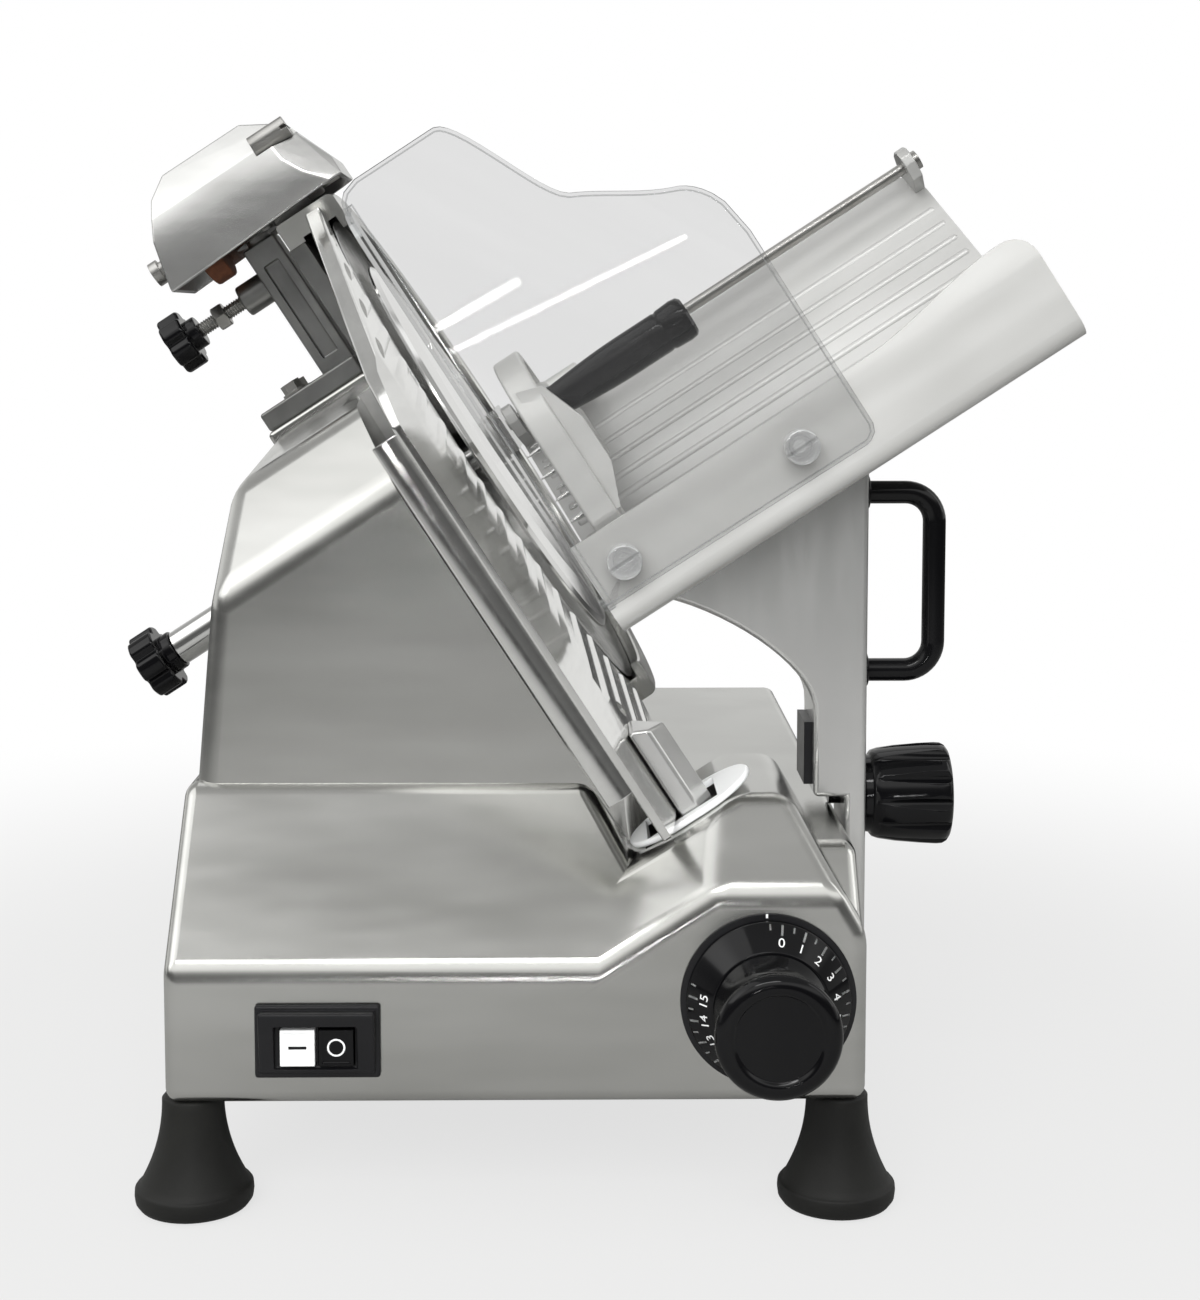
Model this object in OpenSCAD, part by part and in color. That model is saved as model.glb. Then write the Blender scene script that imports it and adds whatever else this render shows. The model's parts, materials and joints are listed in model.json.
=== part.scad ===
// Gravity feed slicer: inclined blade, sliding carriage, thickness gauge and sharpener.
// Lengths in millimetres. X to the right, Y from the operator to the back, Z up from the floor.
// The blade lean is drawn in a slanted frame: n across the blade plane, v up the slope, Y unchanged.

/* [Base] */
// width of the base casting
base_w = 304; // [280:1:340]
// depth of the base casting
base_d = 440; // [420:1:500]
// casting wall
wall_t = 5; // [4:0.5:6]
// height of the front panel at its left end
panel_h = 59; // [52:1:66]
// rise of the cove behind the front panel
cove_h = 69; // [60:1:76]
// depth of the cove behind the front panel
cove_d = 60; // [48:1:66]
// drop of the right deck below the blade axis
deck_drop = 161; // [156:1:166]
// drop of the dial block's top below the blade axis
block_drop = 138; // [134:1:142]
// height of the blade axis above the base foot
axis_h = 266; // [262:1:280]
// distance of the blade axis from the right side of the base
axis_x = 176; // [172:1:182]
// distance of the blade axis behind the front panel
axis_y = 290; // [284:1:300]
// lean of the blade from the vertical, degrees
tilt = 33; // [31:0.5:35]
// height of a foot
foot_h = 50; // [42:1:60]
// diameter of a foot at the floor
foot_d = 52; // [42:1:56]
// diameter of a foot at its neck
foot_neck = 27; // [24:1:32]
// bolt that holds a foot
foot_bolt = 6; // [5:0.5:6.5]

/* [Controls] */
// diameter of the dial's scale
dial_d = 71; // [64:1:78]
// depth of the dial's scale cone
dial_cone = 13; // [10:1:16]
// diameter of the dial knob's rim
dial_knob = 53; // [46:1:58]
// length of the whole dial in front of the panel
dial_len = 52; // [46:1:60]
// diameter of the dial shaft
dial_shaft = 10; // [8:1:12]
// width of the switch bezel
switch_w = 54; // [48:1:60]
// height of the switch bezel
switch_h = 32; // [28:1:36]
// width of one push button
button_w = 15; // [12:0.5:16]
// height of one push button
button_h = 16; // [13:0.5:17]
// travel of a push button
button_go = 2.5; // [1.5:0.5:3]

/* [Blade] */
// blade diameter
blade_d = 300; // [290:1:310]
// width of the guard ring outside the blade
ring_w = 15; // [12:1:18]
// diameter of the blade shaft
shaft_d = 17; // [15:1:20]
// outside diameter of the bearings
bearing_d = 40; // [35:1:47]
// width of a bearing
bearing_w = 12; // [10:1:14]
// outside diameter of the bearing housing
hub_d = 72; // [64:1:80]
// diameter of the driven pulley
pulley_big = 68; // [60:1:76]
// diameter of the motor pulley
pulley_small = 32; // [28:1:36]
// diameter of the motor
motor_d = 96; // [86:1:100]
// width of the base that the motor leaves free
motor_room = 218; // [212:1:230]
// thickness of the belt
belt_t = 3; // [2:0.5:4]
// width of the belt
belt_w = 10; // [8:1:12]
// diameter of the tie rod through the shaft
tie_d = 8; // [6:0.5:9]
// diameter of the lobed cover knob
lobe_d = 38; // [32:1:44]

/* [Gauge] */
// thickness of the gauge plate
gauge_t = 9; // [7:0.5:11]
// thickest slice
slice_max = 15; // [12:1:16]
// height of the gauge ribs
rib_h = 1.2; // [0.8:0.1:1.6]
// pitch of the gauge ribs
rib_pitch = 17; // [14:1:22]
// length of the oval seal across the slope
seal_l = 64; // [58:1:70]
// width of the oval seal
seal_w = 50; // [46:1:54]
// diameter of a gauge rod
gauge_rod = 10; // [8:1:12]
// diameter of the cam follower pin
pin_d = 6; // [5:0.5:7]

/* [Carriage] */
// length of the tray along the feed
tray_l = 248; // [220:1:270]
// sheet thickness of the tray
tray_t = 3; // [2:0.5:4]
// depth of the tray's near wall
near_h = 46; // [40:1:52]
// depth of the tray's back wall
back_h = 98; // [90:1:104]
// number of ribs on the back wall
back_ribs = 8; // [5:1:9]
// thickness of the hand guard
guard_t = 3; // [2:0.5:4]
// diameter of a thumbscrew head
thumb_d = 16; // [13:1:20]
// diameter of the pusher rod
rod_d = 6; // [5:0.5:8]
// diameter of the carriage slide rod
slide_d = 18; // [14:1:20]
// diameter of the carriage guide rod
guide_d = 12; // [10:1:14]
// width of the carriage arm along the slide
arm_w = 46; // [38:1:52]
// thickness of the carriage arm beside the base
arm_t = 10; // [8:1:13]
// diameter of the carriage lock knob
knob_d = 49; // [42:1:54]
// length of the carriage lock knob
knob_l = 42; // [36:1:48]
// height of the push handle
handle_h = 97; // [88:1:104]
// reach of the push handle
handle_w = 40; // [34:1:48]
// diameter of the push handle's bar
handle_d = 11; // [9:1:13]
// length of the pusher grip
grip_l = 78; // [66:1:90]
// diameter of the pusher grip
grip_d = 20; // [17:1:23]

/* [Sharpener] */
// length of the sharpener cover across the blade
sharp_l = 112; // [108:1:118]
// width of the sharpener cover
sharp_w = 66; // [60:1:72]
// height of the sharpener cover
sharp_h = 55; // [48:1:60]
// sheet thickness of the sharpener cover
sharp_t = 3; // [2:0.5:4]
// diameter of the grinding stone
stone_d = 48; // [44:1:48]
// diameter of the sharpener pin
post_d = 14; // [12:1:16]
// diameter of the sharpener lock knob
lock_d = 33; // [26:1:34]

/* [Fits] */
// running clearance on a radius
run_c = 0.05; // [0.03:0.01:0.1]
// clearance between pieces that pass each other
gap_c = 0.4; // [0.3:0.1:0.6]

/* [Hidden] */
$fn = 64;
blade_r = blade_d / 2;
ring_r = blade_r + ring_w;
z0 = foot_h;
x_right = 126;
x_left = x_right - base_w;
z_panel = z0 + panel_h;
z_ridge = z_panel + cove_h;
bx = x_right - axis_x;
by = axis_y;
bz = z0 + axis_h;
z_deck = bz - deck_drop;
z_block = bz - block_drop;
// slanted planes
gauge_gap = 4;
hump_n = -(gauge_t + slice_max + gauge_gap);
boss_n = hump_n + 8;
pad_v = -(ring_r + 17);
hump_v0 = 17;
hump_v1 = 55;
hump_v2 = 76;
hump_y1 = cove_d + 50;
hump_y2 = base_d - 40;
// bearing stack
flange_t = 5;
hub_end = hump_n - wall_t - 29;
pulley_n = hub_end - 22;
motor_n = pulley_n - 10;
motor_l = base_w - motor_room;
motor_v = -(pulley_big / 2 + motor_d / 2 + 33);
blade_back = boss_n + flange_t + 1;
// dial
dial_x = x_right - 43;
dial_z = z0 + 46;
cam_r0 = pin_d / 2 + dial_shaft / 2 + 4;
cam_r = cam_r0 + slice_max + pin_d / 2 + 4;
cam_y = wall_t + 7;
cam_t = 8;
dial_turn = 267;
dial_n = (dial_x - bx) * cos(tilt) + (dial_z - bz) * sin(tilt);
dial_v = -(dial_x - bx) * sin(tilt) + (dial_z - bz) * cos(tilt);
// switch
switch_x = x_left + 67;
switch_z = z0 + 29;
switch_deep = 28;
// gauge
gauge_y0 = 5;
gauge_v0 = pad_v + 6;
gauge_v1 = 37;
horn_y = axis_y - 42;
horn_v = ring_r - 8;
arc_r = blade_r + 4;
post_y = 60;
post_w = 32;
post_n = 16;
seal_n = hump_n + gap_c + seal_l / 2;
rod_v = pad_v - wall_t - gauge_rod / 2 - 24;
slider_h = gauge_rod + 22;
slider_top = rod_v + slider_h / 2;
// carriage
tray_n0 = 23;
tray_v = -98;
tray_y0 = 58;
tray_floor = 92;
tray_lean = 75;
back_y0 = tray_y0 + tray_floor;
rest_y = 120;
post_x0 = x_right + 2;
post_x1 = post_x0 + arm_t;
slide_x = x_right - 25;
slide_z = z0 + 37;
guide_x = slide_x - 35;
travel = base_d - 190;
block_y0 = rest_y - 30;
block_l = 60;
slot_h = 22;
tongue_h = 14;
rod_y = back_y0 + tray_lean - 17;
rod_pv = 6;
handle_z = bz - 102;
lock_z = bz - 157;
// sharpener
head_v = ring_r + 1;
head_n1 = 19;
head_n0 = head_n1 - sharp_l;
post_sn = hump_n - 14;
foot_sv = hump_v1 + (hump_v2 - hump_v1) * (by + 24 - hump_y1) / (hump_y2 - 34 - hump_y1) + 0.3;
lock_v = head_v - 25;
// shift that puts the middle of the outline over the origin
x_min = wx(-228, lobe_d / 2);
x_max = wx(tray_n0 + tray_l, tray_v);
y_min = -dial_len;
y_max = axis_y + ring_r;
ox = (x_min + x_max) / 2;
oy = (y_min + y_max) / 2;
metal = [0.72, 0.72, 0.70];
steel = [0.80, 0.81, 0.83];
dark = [0.09, 0.09, 0.10];
rubber = [0.13, 0.13, 0.13];

function wx(n, v) = bx + n * cos(tilt) - v * sin(tilt);
function wz(n, v) = bz + n * sin(tilt) + v * cos(tilt);
function v_at(n, z) = (z - bz - n * sin(tilt)) / cos(tilt);
function z_on(v, x) = bz + (v + (x - bx) * sin(tilt)) / cos(tilt);
function x_on(v, z) = bx + ((z - bz) * cos(tilt) - v) / sin(tilt);
function ease(t) = t < 0 ? 0 : t > 1 ? 1 : t * t * (3 - 2 * t);

module place() {
  translate([-ox, -oy, 0]) children();
}

// slanted frame at the blade's centre
module slant() {
  translate([bx, 0, bz]) rotate([0, -tilt, 0]) children();
}

// turned piece about an axis along n; sketch is (radius, n)
module about_n(y, v) {
  translate([0, y, v]) rotate([0, 90, 0]) rotate_extrude() children();
}

// cylinder along n
module rod_n(n, y, v, d, l) {
  translate([n, y, v]) rotate([0, 90, 0]) cylinder(d = d, h = l);
}

// cylinder along Y
module rod_y(x, y, z, d, l) {
  translate([x, y, z]) rotate([-90, 0, 0]) cylinder(d = d, h = l);
}

// cylinder along X
module rod_x(x, y, z, d, l) {
  translate([x, y, z]) rotate([0, 90, 0]) cylinder(d = d, h = l);
}

// sketch in X and Z drawn out along Y
module xz(y, t) {
  translate([0, y + t, 0]) rotate([90, 0, 0]) linear_extrude(t) children();
}

// sketch in Y and Z drawn out along X, or along n in the slanted frame
module yz(x, t) {
  translate([x, 0, 0]) rotate([90, 0, 90]) linear_extrude(t) children();
}

// slope of the cove's right end, up the pad
front_v = pad_v - 23;
slope_y = 30;
block_y1 = 130;
block_x1 = x_right - 20;
block_x0 = x_right - 154;
deck_y = cove_d * (z_deck - z_panel) / (z_ridge - z_panel);
round_r = 12;

// hump over the motor: cut from a block by its sloped planes
module hump_solid(o) {
  zb = z_deck - 8;
  difference() {
    intersection() {
      slant() yz(-420, 420 + hump_n - o) polygon([
        [cove_d + 2 + o, -400], [cove_d + 2 + o, hump_v0 - o], [hump_y1 + o / 2, hump_v1 - o],
        [hump_y2 - 34, hump_v2 - o], [hump_y2 - o, hump_v2 - 34 - o], [hump_y2 - o, -400]
      ]);
      translate([x_left - 40, 0, zb]) cube([base_w + 40, base_d, 400]);
    }
    translate([x_left + 3 + o, cove_d, z_deck]) rotate([0, 5, 0]) rotate([0, 0, 1.5])
      translate([-400, -600, -600]) cube([400, 1800, 1800]);
  }
}

// block behind the dial, with the sloped pad for the gauge
module block_solid(o) {
  intersection() {
    slant() yz(-120, 420) polygon([
      [o, -600], [o, front_v - 1.3 * o], [slope_y + o / 2, pad_v - o],
      [block_y1 - o, pad_v - o], [block_y1 - o, -600]
    ]);
    yz(block_x0, x_right - block_x0) polygon([
      [o, z0 - o], [o, z_panel + 44 - o], [slope_y + o / 2, z_block - o], [block_y1 - o, z_block - o],
      [block_y1 - o, z0 - o]
    ]);
    translate([0, 0, z0 - o]) linear_extrude(300) polygon([
      [block_x0, o], [x_right - 4 - o, o], [block_x1 - o, slope_y], [block_x1 - o, base_d], [block_x0, base_d]
    ]);
    xz(0, base_d) polygon([
      [block_x0, z0 - o], [block_x0, z_block + 90],
      [x_right - 58 - o, z_block + 90], [x_right - 40 - o, z_block - o],
      [block_x1 - o, z_block - 16 - o], [x_right - 6 - o, z_panel + 30],
      [x_right - o, z_panel + 14], [x_right - o, z0 - o]
    ]);
  }
}

module deck_solid(o) {
  intersection() {
    xz(0, base_d) polygon([
      [block_x0, z0 - o], [block_x0, z_deck - o], [x_right - round_r - o / 2, z_deck - o],
      [x_right - round_r * 0.3 - o, z_deck - round_r * 0.3 - o],
      [x_right - o, z_deck - round_r - o / 2], [x_right - o, z0 - o]
    ]);
    yz(block_x0 - 10, x_right - block_x0 + 10) polygon([
      [o, z0 - o], [o, z_panel - 0.4 * o], [deck_y + 0.4 * o, z_deck - o], [base_d - round_r, z_deck - o],
      [base_d - o, z_deck - round_r - o], [base_d - o, z0 - o]
    ]);
  }
}

module cove_solid(o) {
  yz(x_left + o, x_right - 98 - x_left - o) polygon([
    [o, z0 - o], [o, z_panel - 0.4 * o], [cove_d + 0.4 * o, z_ridge - o], [base_d - 27, z_ridge - o],
    [base_d - o, z_ridge - 27 - o], [base_d - o, z0 - o]
  ]);
}

module base_housing() color(metal) place() {
  difference() {
    union() {
      difference() {
        union() {
          cove_solid(0);
          deck_solid(0);
          hump_solid(0);
        }
        slant() translate([hump_n, -1, pad_v]) cube([500, base_d + 2, 700]);
      }
      block_solid(0);
      slant() about_n(by, 0) polygon([
        [0, hump_n - 2], [blade_r, hump_n - 2], [blade_r, boss_n], [0, boss_n]
      ]);
      slant() translate([post_sn - 52, by - 26, hump_v1]) cube([64, 52, foot_sv - hump_v1]);
    }
    // hollow inside
    difference() {
      union() {
        cove_solid(wall_t);
        deck_solid(wall_t);
        hump_solid(wall_t);
      }
      slant() translate([hump_n - wall_t, -1, pad_v - wall_t]) cube([500, base_d + 2, 700]);
    }
    block_solid(wall_t);
    // openings
    translate([switch_x - switch_w / 2 + 4, -1, switch_z - switch_h / 2 + 4])
      cube([switch_w - 8, wall_t + 2, switch_h - 8]);
    rod_y(dial_x, -1, dial_z, dial_shaft + 12, wall_t + 4);
    slant() rod_n(hump_n - wall_t - 2, by, 0, hub_d, wall_t + 20);
    slant() rod_n(-220, by, 0, tie_d + 12, 110);
    slant() translate([-slice_max - 6, post_y - post_w / 2 - 4, pad_v - wall_t - 2])
      cube([slice_max + post_n + 12, post_w + 8, wall_t + 10]);
    rod_x(x_left - 2, 150, z0 + 92, 10, wall_t + 6);
    translate([x_right - wall_t - 2, rest_y - arm_w / 2 - 5, slide_z - slot_h / 2])
      cube([wall_t + 4, travel + arm_w + 10, slot_h]);
    slant() for (k = [-1, 1])
      translate([post_sn - 28, by + k * 12, hump_v2 - 30]) cylinder(d = 6, h = 60);
  }
}

module bottom_cover() color(metal) place() {
  difference() {
    translate([x_left + wall_t + gap_c, wall_t + gap_c, z0])
      cube([base_w - 2 * wall_t - 2 * gap_c, base_d - 2 * wall_t - 2 * gap_c, 3]);
    for (x = [x_left + 10, x_right - 11], y = [foot_y, base_d - 32])
      translate([x, y, z0 - 1]) cylinder(d = foot_bolt + 2 * run_c, h = 5);
  }
}

foot_y = 16;

module foot_places() {
  for (x = [x_left + 10, x_right - 11], y = [foot_y, base_d - 32]) translate([x, y, 0]) children();
}

module feet() color(rubber) place() {
  foot_places() rotate_extrude() polygon(concat(
    [[foot_bolt / 2 + run_c, 0], [foot_d / 2 - 3, 0], [foot_d / 2 - 1, 2], [foot_d / 2, 5], [foot_d / 2, 9],
     [foot_d / 2 - 1.2, 10]],
    [for (k = [1 : 8]) let (t = k / 8)
      [foot_neck / 2 + (foot_d / 2 - 1.2 - foot_neck / 2) * pow(1 - t, 2.1), 10 + (foot_h - 10) * t]],
    [[foot_bolt / 2 + run_c, foot_h]]
  ));
}

module foot_bolts() color(steel) place() {
  foot_places() union() {
    translate([0, 0, 6]) cylinder(d = foot_bolt, h = foot_h - 1);
    translate([0, 0, foot_h + 3]) cylinder(d = foot_bolt + 2, h = 5, $fn = 6);
  }
}

module cord_gland() color(dark) place() {
  difference() {
    union() {
      rod_x(x_left - 7, 150, z0 + 92, 18, 7);
      rod_x(x_left - 1, 150, z0 + 92, 10 - 2 * run_c, wall_t + 5);
      rod_x(x_left + wall_t + 0.6, 150, z0 + 92, 17, 4);
    }
    rod_x(x_left - 9, 150, z0 + 92, 6, 24);
  }
}

function button_x(k) = switch_x + k * (button_w / 2 + 0.8);
button_z = switch_z - 2;

module switch_bezel() color(dark) place() {
  difference() {
    union() {
      translate([switch_x - switch_w / 2, -3, switch_z - switch_h / 2]) cube([switch_w, 3, switch_h]);
      translate([switch_x - switch_w / 2 + 2, -7, switch_z + switch_h / 2 - 9])
        cube([switch_w - 4, 5, 7]);
      for (x = [switch_x - switch_w / 2 + 2, switch_x + switch_w / 2 - 6])
        translate([x, -6, switch_z - switch_h / 2 + 3]) cube([4, 4, switch_h - 9]);
      translate([switch_x - switch_w / 2 + 4 + gap_c, -1, switch_z - switch_h / 2 + 4 + gap_c])
        cube([switch_w - 8 - 2 * gap_c, wall_t + 3, switch_h - 8 - 2 * gap_c]);
    }
    for (k = [-1, 1])
      translate([button_x(k) - button_w / 2 - gap_c, -9, button_z - button_h / 2 - gap_c])
        cube([button_w + 2 * gap_c, wall_t + 20, button_h + 2 * gap_c]);
  }
}

module switch_body() color(dark) place() {
  difference() {
    translate([switch_x - switch_w / 2 + 5, wall_t + 2, switch_z - switch_h / 2 + 5])
      cube([switch_w - 10, switch_deep, switch_h - 10]);
    for (k = [-1, 1])
      translate([button_x(k) - button_w / 2 - gap_c, wall_t, button_z - button_h / 2 - gap_c])
        cube([button_w + 2 * gap_c, 14, button_h + 2 * gap_c]);
  }
}

module push_button(k, front) {
  translate([button_x(k) - button_w / 2, front, button_z - button_h / 2])
    cube([button_w, wall_t + 4 - front, button_h]);
}

module on_button() color([0.93, 0.93, 0.90]) place() {
  push_button(-1, -button_go - 2.6);
}

module off_button() color(dark) place() {
  push_button(1, -button_go - 2.2);
}

module switch_springs() color(steel) place() {
  for (k = [-1, 1])
    rod_y(button_x(k), wall_t + 4 + button_go + 0.4, button_z, 6, 14 - 4 - button_go - 0.5);
}

// thickness dial
module dial_ring() color(dark) place() {
  translate([dial_x, 0, dial_z]) rotate([90, 0, 0]) rotate_extrude() polygon([
    [dial_shaft / 2 + run_c, 1.2], [dial_d / 2 + 2.5, 1.2], [dial_d / 2 + 2.5, 0], [dial_shaft / 2 + 6 - run_c, 0],
    [dial_shaft / 2 + 6 - run_c, -cam_y + 1], [dial_shaft / 2 + run_c, -cam_y + 1]
  ]);
}

module dial_scale() color(dark) place() {
  translate([dial_x, 0, dial_z]) rotate([90, 0, 0]) rotate_extrude() polygon([
    [dial_shaft / 2, 1.6], [dial_d / 2, 1.6], [dial_d / 2, 4.6], [dial_knob / 2 - 1, 1.6 + dial_cone],
    [dial_shaft / 2, 1.6 + dial_cone]
  ]);
}

module dial_grip() color(dark) place() {
  y0 = 1.6 + dial_cone;
  translate([dial_x, 0, dial_z]) rotate([90, 0, 0]) rotate_extrude() polygon(concat(
    [[dial_shaft / 2, y0]],
    [for (k = [0 : 8]) let (t = k / 8)
      [dial_knob / 2 - 2 - 4.5 * sin(180 * min(1, t * 1.08)) + (t > 0.85 ? 1.5 : 0),
       y0 + (dial_len - y0 - 7) * t]],
    [[dial_knob / 2, dial_len - 5], [dial_knob / 2, dial_len - 2.6], [dial_knob / 2 - 2.2, dial_len],
     [dial_knob / 2 - 7, dial_len], [dial_knob / 2 - 7.6, dial_len - 0.6], [dial_knob / 2 - 8.2, dial_len],
     [0, dial_len], [0, dial_len - 8], [dial_shaft / 2, dial_len - 8]]
  ));
}

module dial_axle() color(steel) place() {
  rod_y(dial_x, -dial_len + 8, dial_z, dial_shaft, dial_len - 8 + cam_y + cam_t);
}

function cam_at(t, w) = let (a = 180 + tilt - dial_turn * t, r = cam_r0 + slice_max * t + w)
  [r * cos(a), r * sin(a)];

module cam_plate() color(steel) place() {
  hw = pin_d / 2 + 0.6;
  translate([dial_x, cam_y + cam_t, dial_z]) rotate([90, 0, 0]) linear_extrude(cam_t) difference() {
    circle(r = cam_r);
    circle(d = dial_shaft + 2 * run_c);
    polygon(concat(
      [for (k = [0 : 30]) cam_at(k / 30, hw)],
      [for (k = [30 : -1 : 0]) cam_at(k / 30, -hw)]
    ));
    for (t = [0, 1]) translate(cam_at(t, 0)) circle(r = hw);
  }
}

// gauge
module gauge_sketch(in) {
  difference() {
    polygon([
      [gauge_y0 + in, gauge_v0 + in], [gauge_y0 + in, gauge_v1 - in],
      [gauge_y0 + 22 + in, gauge_v1 + 24 - in], [horn_y - 10 - in, horn_v - in], [horn_y - in, horn_v - 4 - in],
      [horn_y - in, -horn_v + 6 + in], [horn_y - 46 - in, gauge_v0 + in]
    ]);
    translate([axis_y, 0]) circle(r = arc_r + in, $fn = 128);
  }
}

module gauge_plate() color(metal) place() slant() {
  yz(-gauge_t, gauge_t) gauge_sketch(0);
  yz(0, rib_h) intersection() {
    gauge_sketch(9);
    difference() {
      for (k = [-4 : 22])
        translate([gauge_y0, gauge_v0 + k * rib_pitch]) rotate(6) square([320, 3]);
      translate([post_y - post_w, gauge_v0 - 5]) square([2 * post_w, 62]);
    }
  }
}

module gauge_seal() color([0.93, 0.93, 0.91]) place() slant() {
  difference() {
    translate([seal_n, post_y, pad_v]) linear_extrude(3) union() {
      for (k = [-1, 1]) translate([k * (seal_l - seal_w) / 2, 0]) circle(d = seal_w);
      square([seal_l - seal_w, seal_w], center = true);
    }
    translate([-slice_max - 3, post_y - post_w / 2 - 2, pad_v - 1])
      cube([slice_max + post_n + 6, post_w + 4, 6]);
  }
}

module gauge_slider() color(steel) place() slant() {
  y1 = post_y - 20;
  n1 = dial_n - cam_r0;
  difference() {
    union() {
      translate([-8, y1, rod_v - slider_h / 2]) cube([26, 40, slider_h]);
      translate([0, 0, slider_top - 1]) linear_extrude(gauge_v0 + 41 - slider_top) polygon([
        [0, post_y - post_w / 2], [post_n, post_y], [0, post_y + post_w / 2]
      ]);
      translate([n1 - 6, y1 - 8, dial_v - 5]) cube([12, 8.5, rod_v + 4 - dial_v + 5]);
      translate([n1 - 6, y1 - 8, rod_v - 10]) cube([10 - n1 + 6, 8.5, 14]);
      translate([n1, cam_y + 1, dial_v]) rotate([-90, 0, 0]) cylinder(d = pin_d, h = y1 - 7 - cam_y);
    }
    for (k = [-1, 1]) rod_n(-9, post_y + k * 11, rod_v, gauge_rod + 2 * run_c, 28);
  }
}

module gauge_rods() color(steel) place() slant() {
  for (k = [-1, 1]) rod_n(-50, post_y + k * 11, rod_v, gauge_rod, 76);
}

module gauge_bracket() color(metal) place() slant() {
  difference() {
    union() {
      for (n = [-50, 20])
        translate([n, post_y - 22, rod_v - slider_h / 2]) cube([6, 44, pad_v - wall_t - rod_v + slider_h / 2]);
    }
    for (k = [-1, 1]) rod_n(-60, post_y + k * 11, rod_v, gauge_rod + 2 * run_c, 100);
  }
}

// blade and drive
module blade() color(steel) place() slant() {
  difference() {
    about_n(by, 0) polygon([
      [tie_d / 2 + 6, blade_back], [46, blade_back], [46, blade_back + 5], [blade_r - 14, -7], [blade_r - 2, -1.6],
      [blade_r, -0.6], [blade_r, 0], [blade_r - 9, -1.4], [blade_r - 40, -4], [blade_r - 60, -5], [tie_d / 2 + 6, -5]
    ]);
    for (a = [0 : 120 : 240])
      translate([0, by, 0]) rotate([a, 0, 0]) rod_n(-30, 0, 22, 5 + 2 * run_c, 40);
  }
}

module blade_screws() color(steel) place() slant() {
  for (a = [0 : 120 : 240])
    translate([0, by, 0]) rotate([a, 0, 0]) union() {
      rod_n(blade_back, 0, 22, 5, -5 - blade_back);
      rod_n(-5, 0, 22, 9, 2.5);
    }
}

module blade_shaft() color(steel) place() slant() {
  about_n(by, 0) polygon([
    [tie_d / 2 + 0.5, pulley_n], [pulley_big / 2 + 3, pulley_n], [pulley_big / 2 + 3, pulley_n + 2],
    [pulley_big / 2, pulley_n + 2], [pulley_big / 2, pulley_n + belt_w + 4],
    [pulley_big / 2 + 3, pulley_n + belt_w + 4], [pulley_big / 2 + 3, pulley_n + belt_w + 6],
    [shaft_d / 2, pulley_n + belt_w + 6], [shaft_d / 2, boss_n + 1], [31, boss_n + 1],
    [31, blade_back], [tie_d / 2 + 0.5, blade_back]
  ]);
}

module hub_bearings() color(steel) place() slant() {
  for (n = [hub_end + 2, boss_n - bearing_w - 1])
    about_n(by, 0) polygon([
      [shaft_d / 2 + run_c, n], [bearing_d / 2, n], [bearing_d / 2, n + bearing_w],
      [shaft_d / 2 + run_c, n + bearing_w]
    ]);
}

module bearing_housing() color(metal) place() slant() {
  about_n(by, 0) polygon([
    [bearing_d / 2 + run_c, hub_end], [hub_d / 2 - run_c, hub_end], [hub_d / 2 - run_c, boss_n],
    [bearing_d / 2 + run_c, boss_n]
  ]);
}

module drive_belt() color(dark) place() slant() {
  yz(pulley_n + 3, belt_w) difference() {
    hull() {
      translate([by, 0]) circle(d = pulley_big + 2 * gap_c + 2 * belt_t, $fn = 48);
      translate([by, motor_v]) circle(d = pulley_small + 2 * gap_c + 2 * belt_t, $fn = 48);
    }
    hull() {
      translate([by, 0]) circle(d = pulley_big + 2 * gap_c, $fn = 48);
      translate([by, motor_v]) circle(d = pulley_small + 2 * gap_c, $fn = 48);
    }
  }
}

module motor() color([0.35, 0.36, 0.38]) place() slant() {
  difference() {
    union() {
      rod_n(motor_n - motor_l, by, motor_v, motor_d, motor_l - 2);
      rod_n(motor_n - 4, by, motor_v, 44, 4);
    }
    rod_n(motor_n - motor_l + 6, by, motor_v, 14 + 2 * run_c, motor_l);
  }
}

module motor_rotor() color(steel) place() slant() {
  union() {
    rod_n(motor_n - motor_l + 8, by, motor_v, 14, motor_l - 8 + belt_w + 20);
    about_n(by, motor_v) polygon([
      [3, pulley_n], [pulley_small / 2 + 3, pulley_n], [pulley_small / 2 + 3, pulley_n + 2],
      [pulley_small / 2, pulley_n + 2], [pulley_small / 2, pulley_n + belt_w + 4],
      [pulley_small / 2 + 3, pulley_n + belt_w + 4], [pulley_small / 2 + 3, pulley_n + belt_w + 6],
      [3, pulley_n + belt_w + 6]
    ]);
  }
}

module motor_mount() color(metal) place() slant() {
  difference() {
    union() {
      translate([motor_n - 2, by - 56, motor_v - 54]) cube([5, 112, 108]);
      for (y = [-50, 50], v = [-48, 48])
        rod_n(motor_n, by + y, motor_v + v, 11, hump_n - wall_t - motor_n);
    }
    rod_n(motor_n - 5, by, motor_v, 44 + 2 * run_c, 12);
  }
}

module blade_ring() color(metal) place() slant() {
  translate([0, by, 0]) rotate([0, 90, 0]) rotate([0, 0, -10]) rotate_extrude(angle = 200) polygon([
    [blade_r + run_c, hump_n], [ring_r, hump_n], [ring_r, 5], [ring_r - 3, 8], [blade_r - 5, 8],
    [blade_r - 5, 3], [blade_r + 2.5, 3], [blade_r + 2.5, boss_n + 2], [blade_r + run_c, boss_n + 2]
  ]);
}

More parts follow.
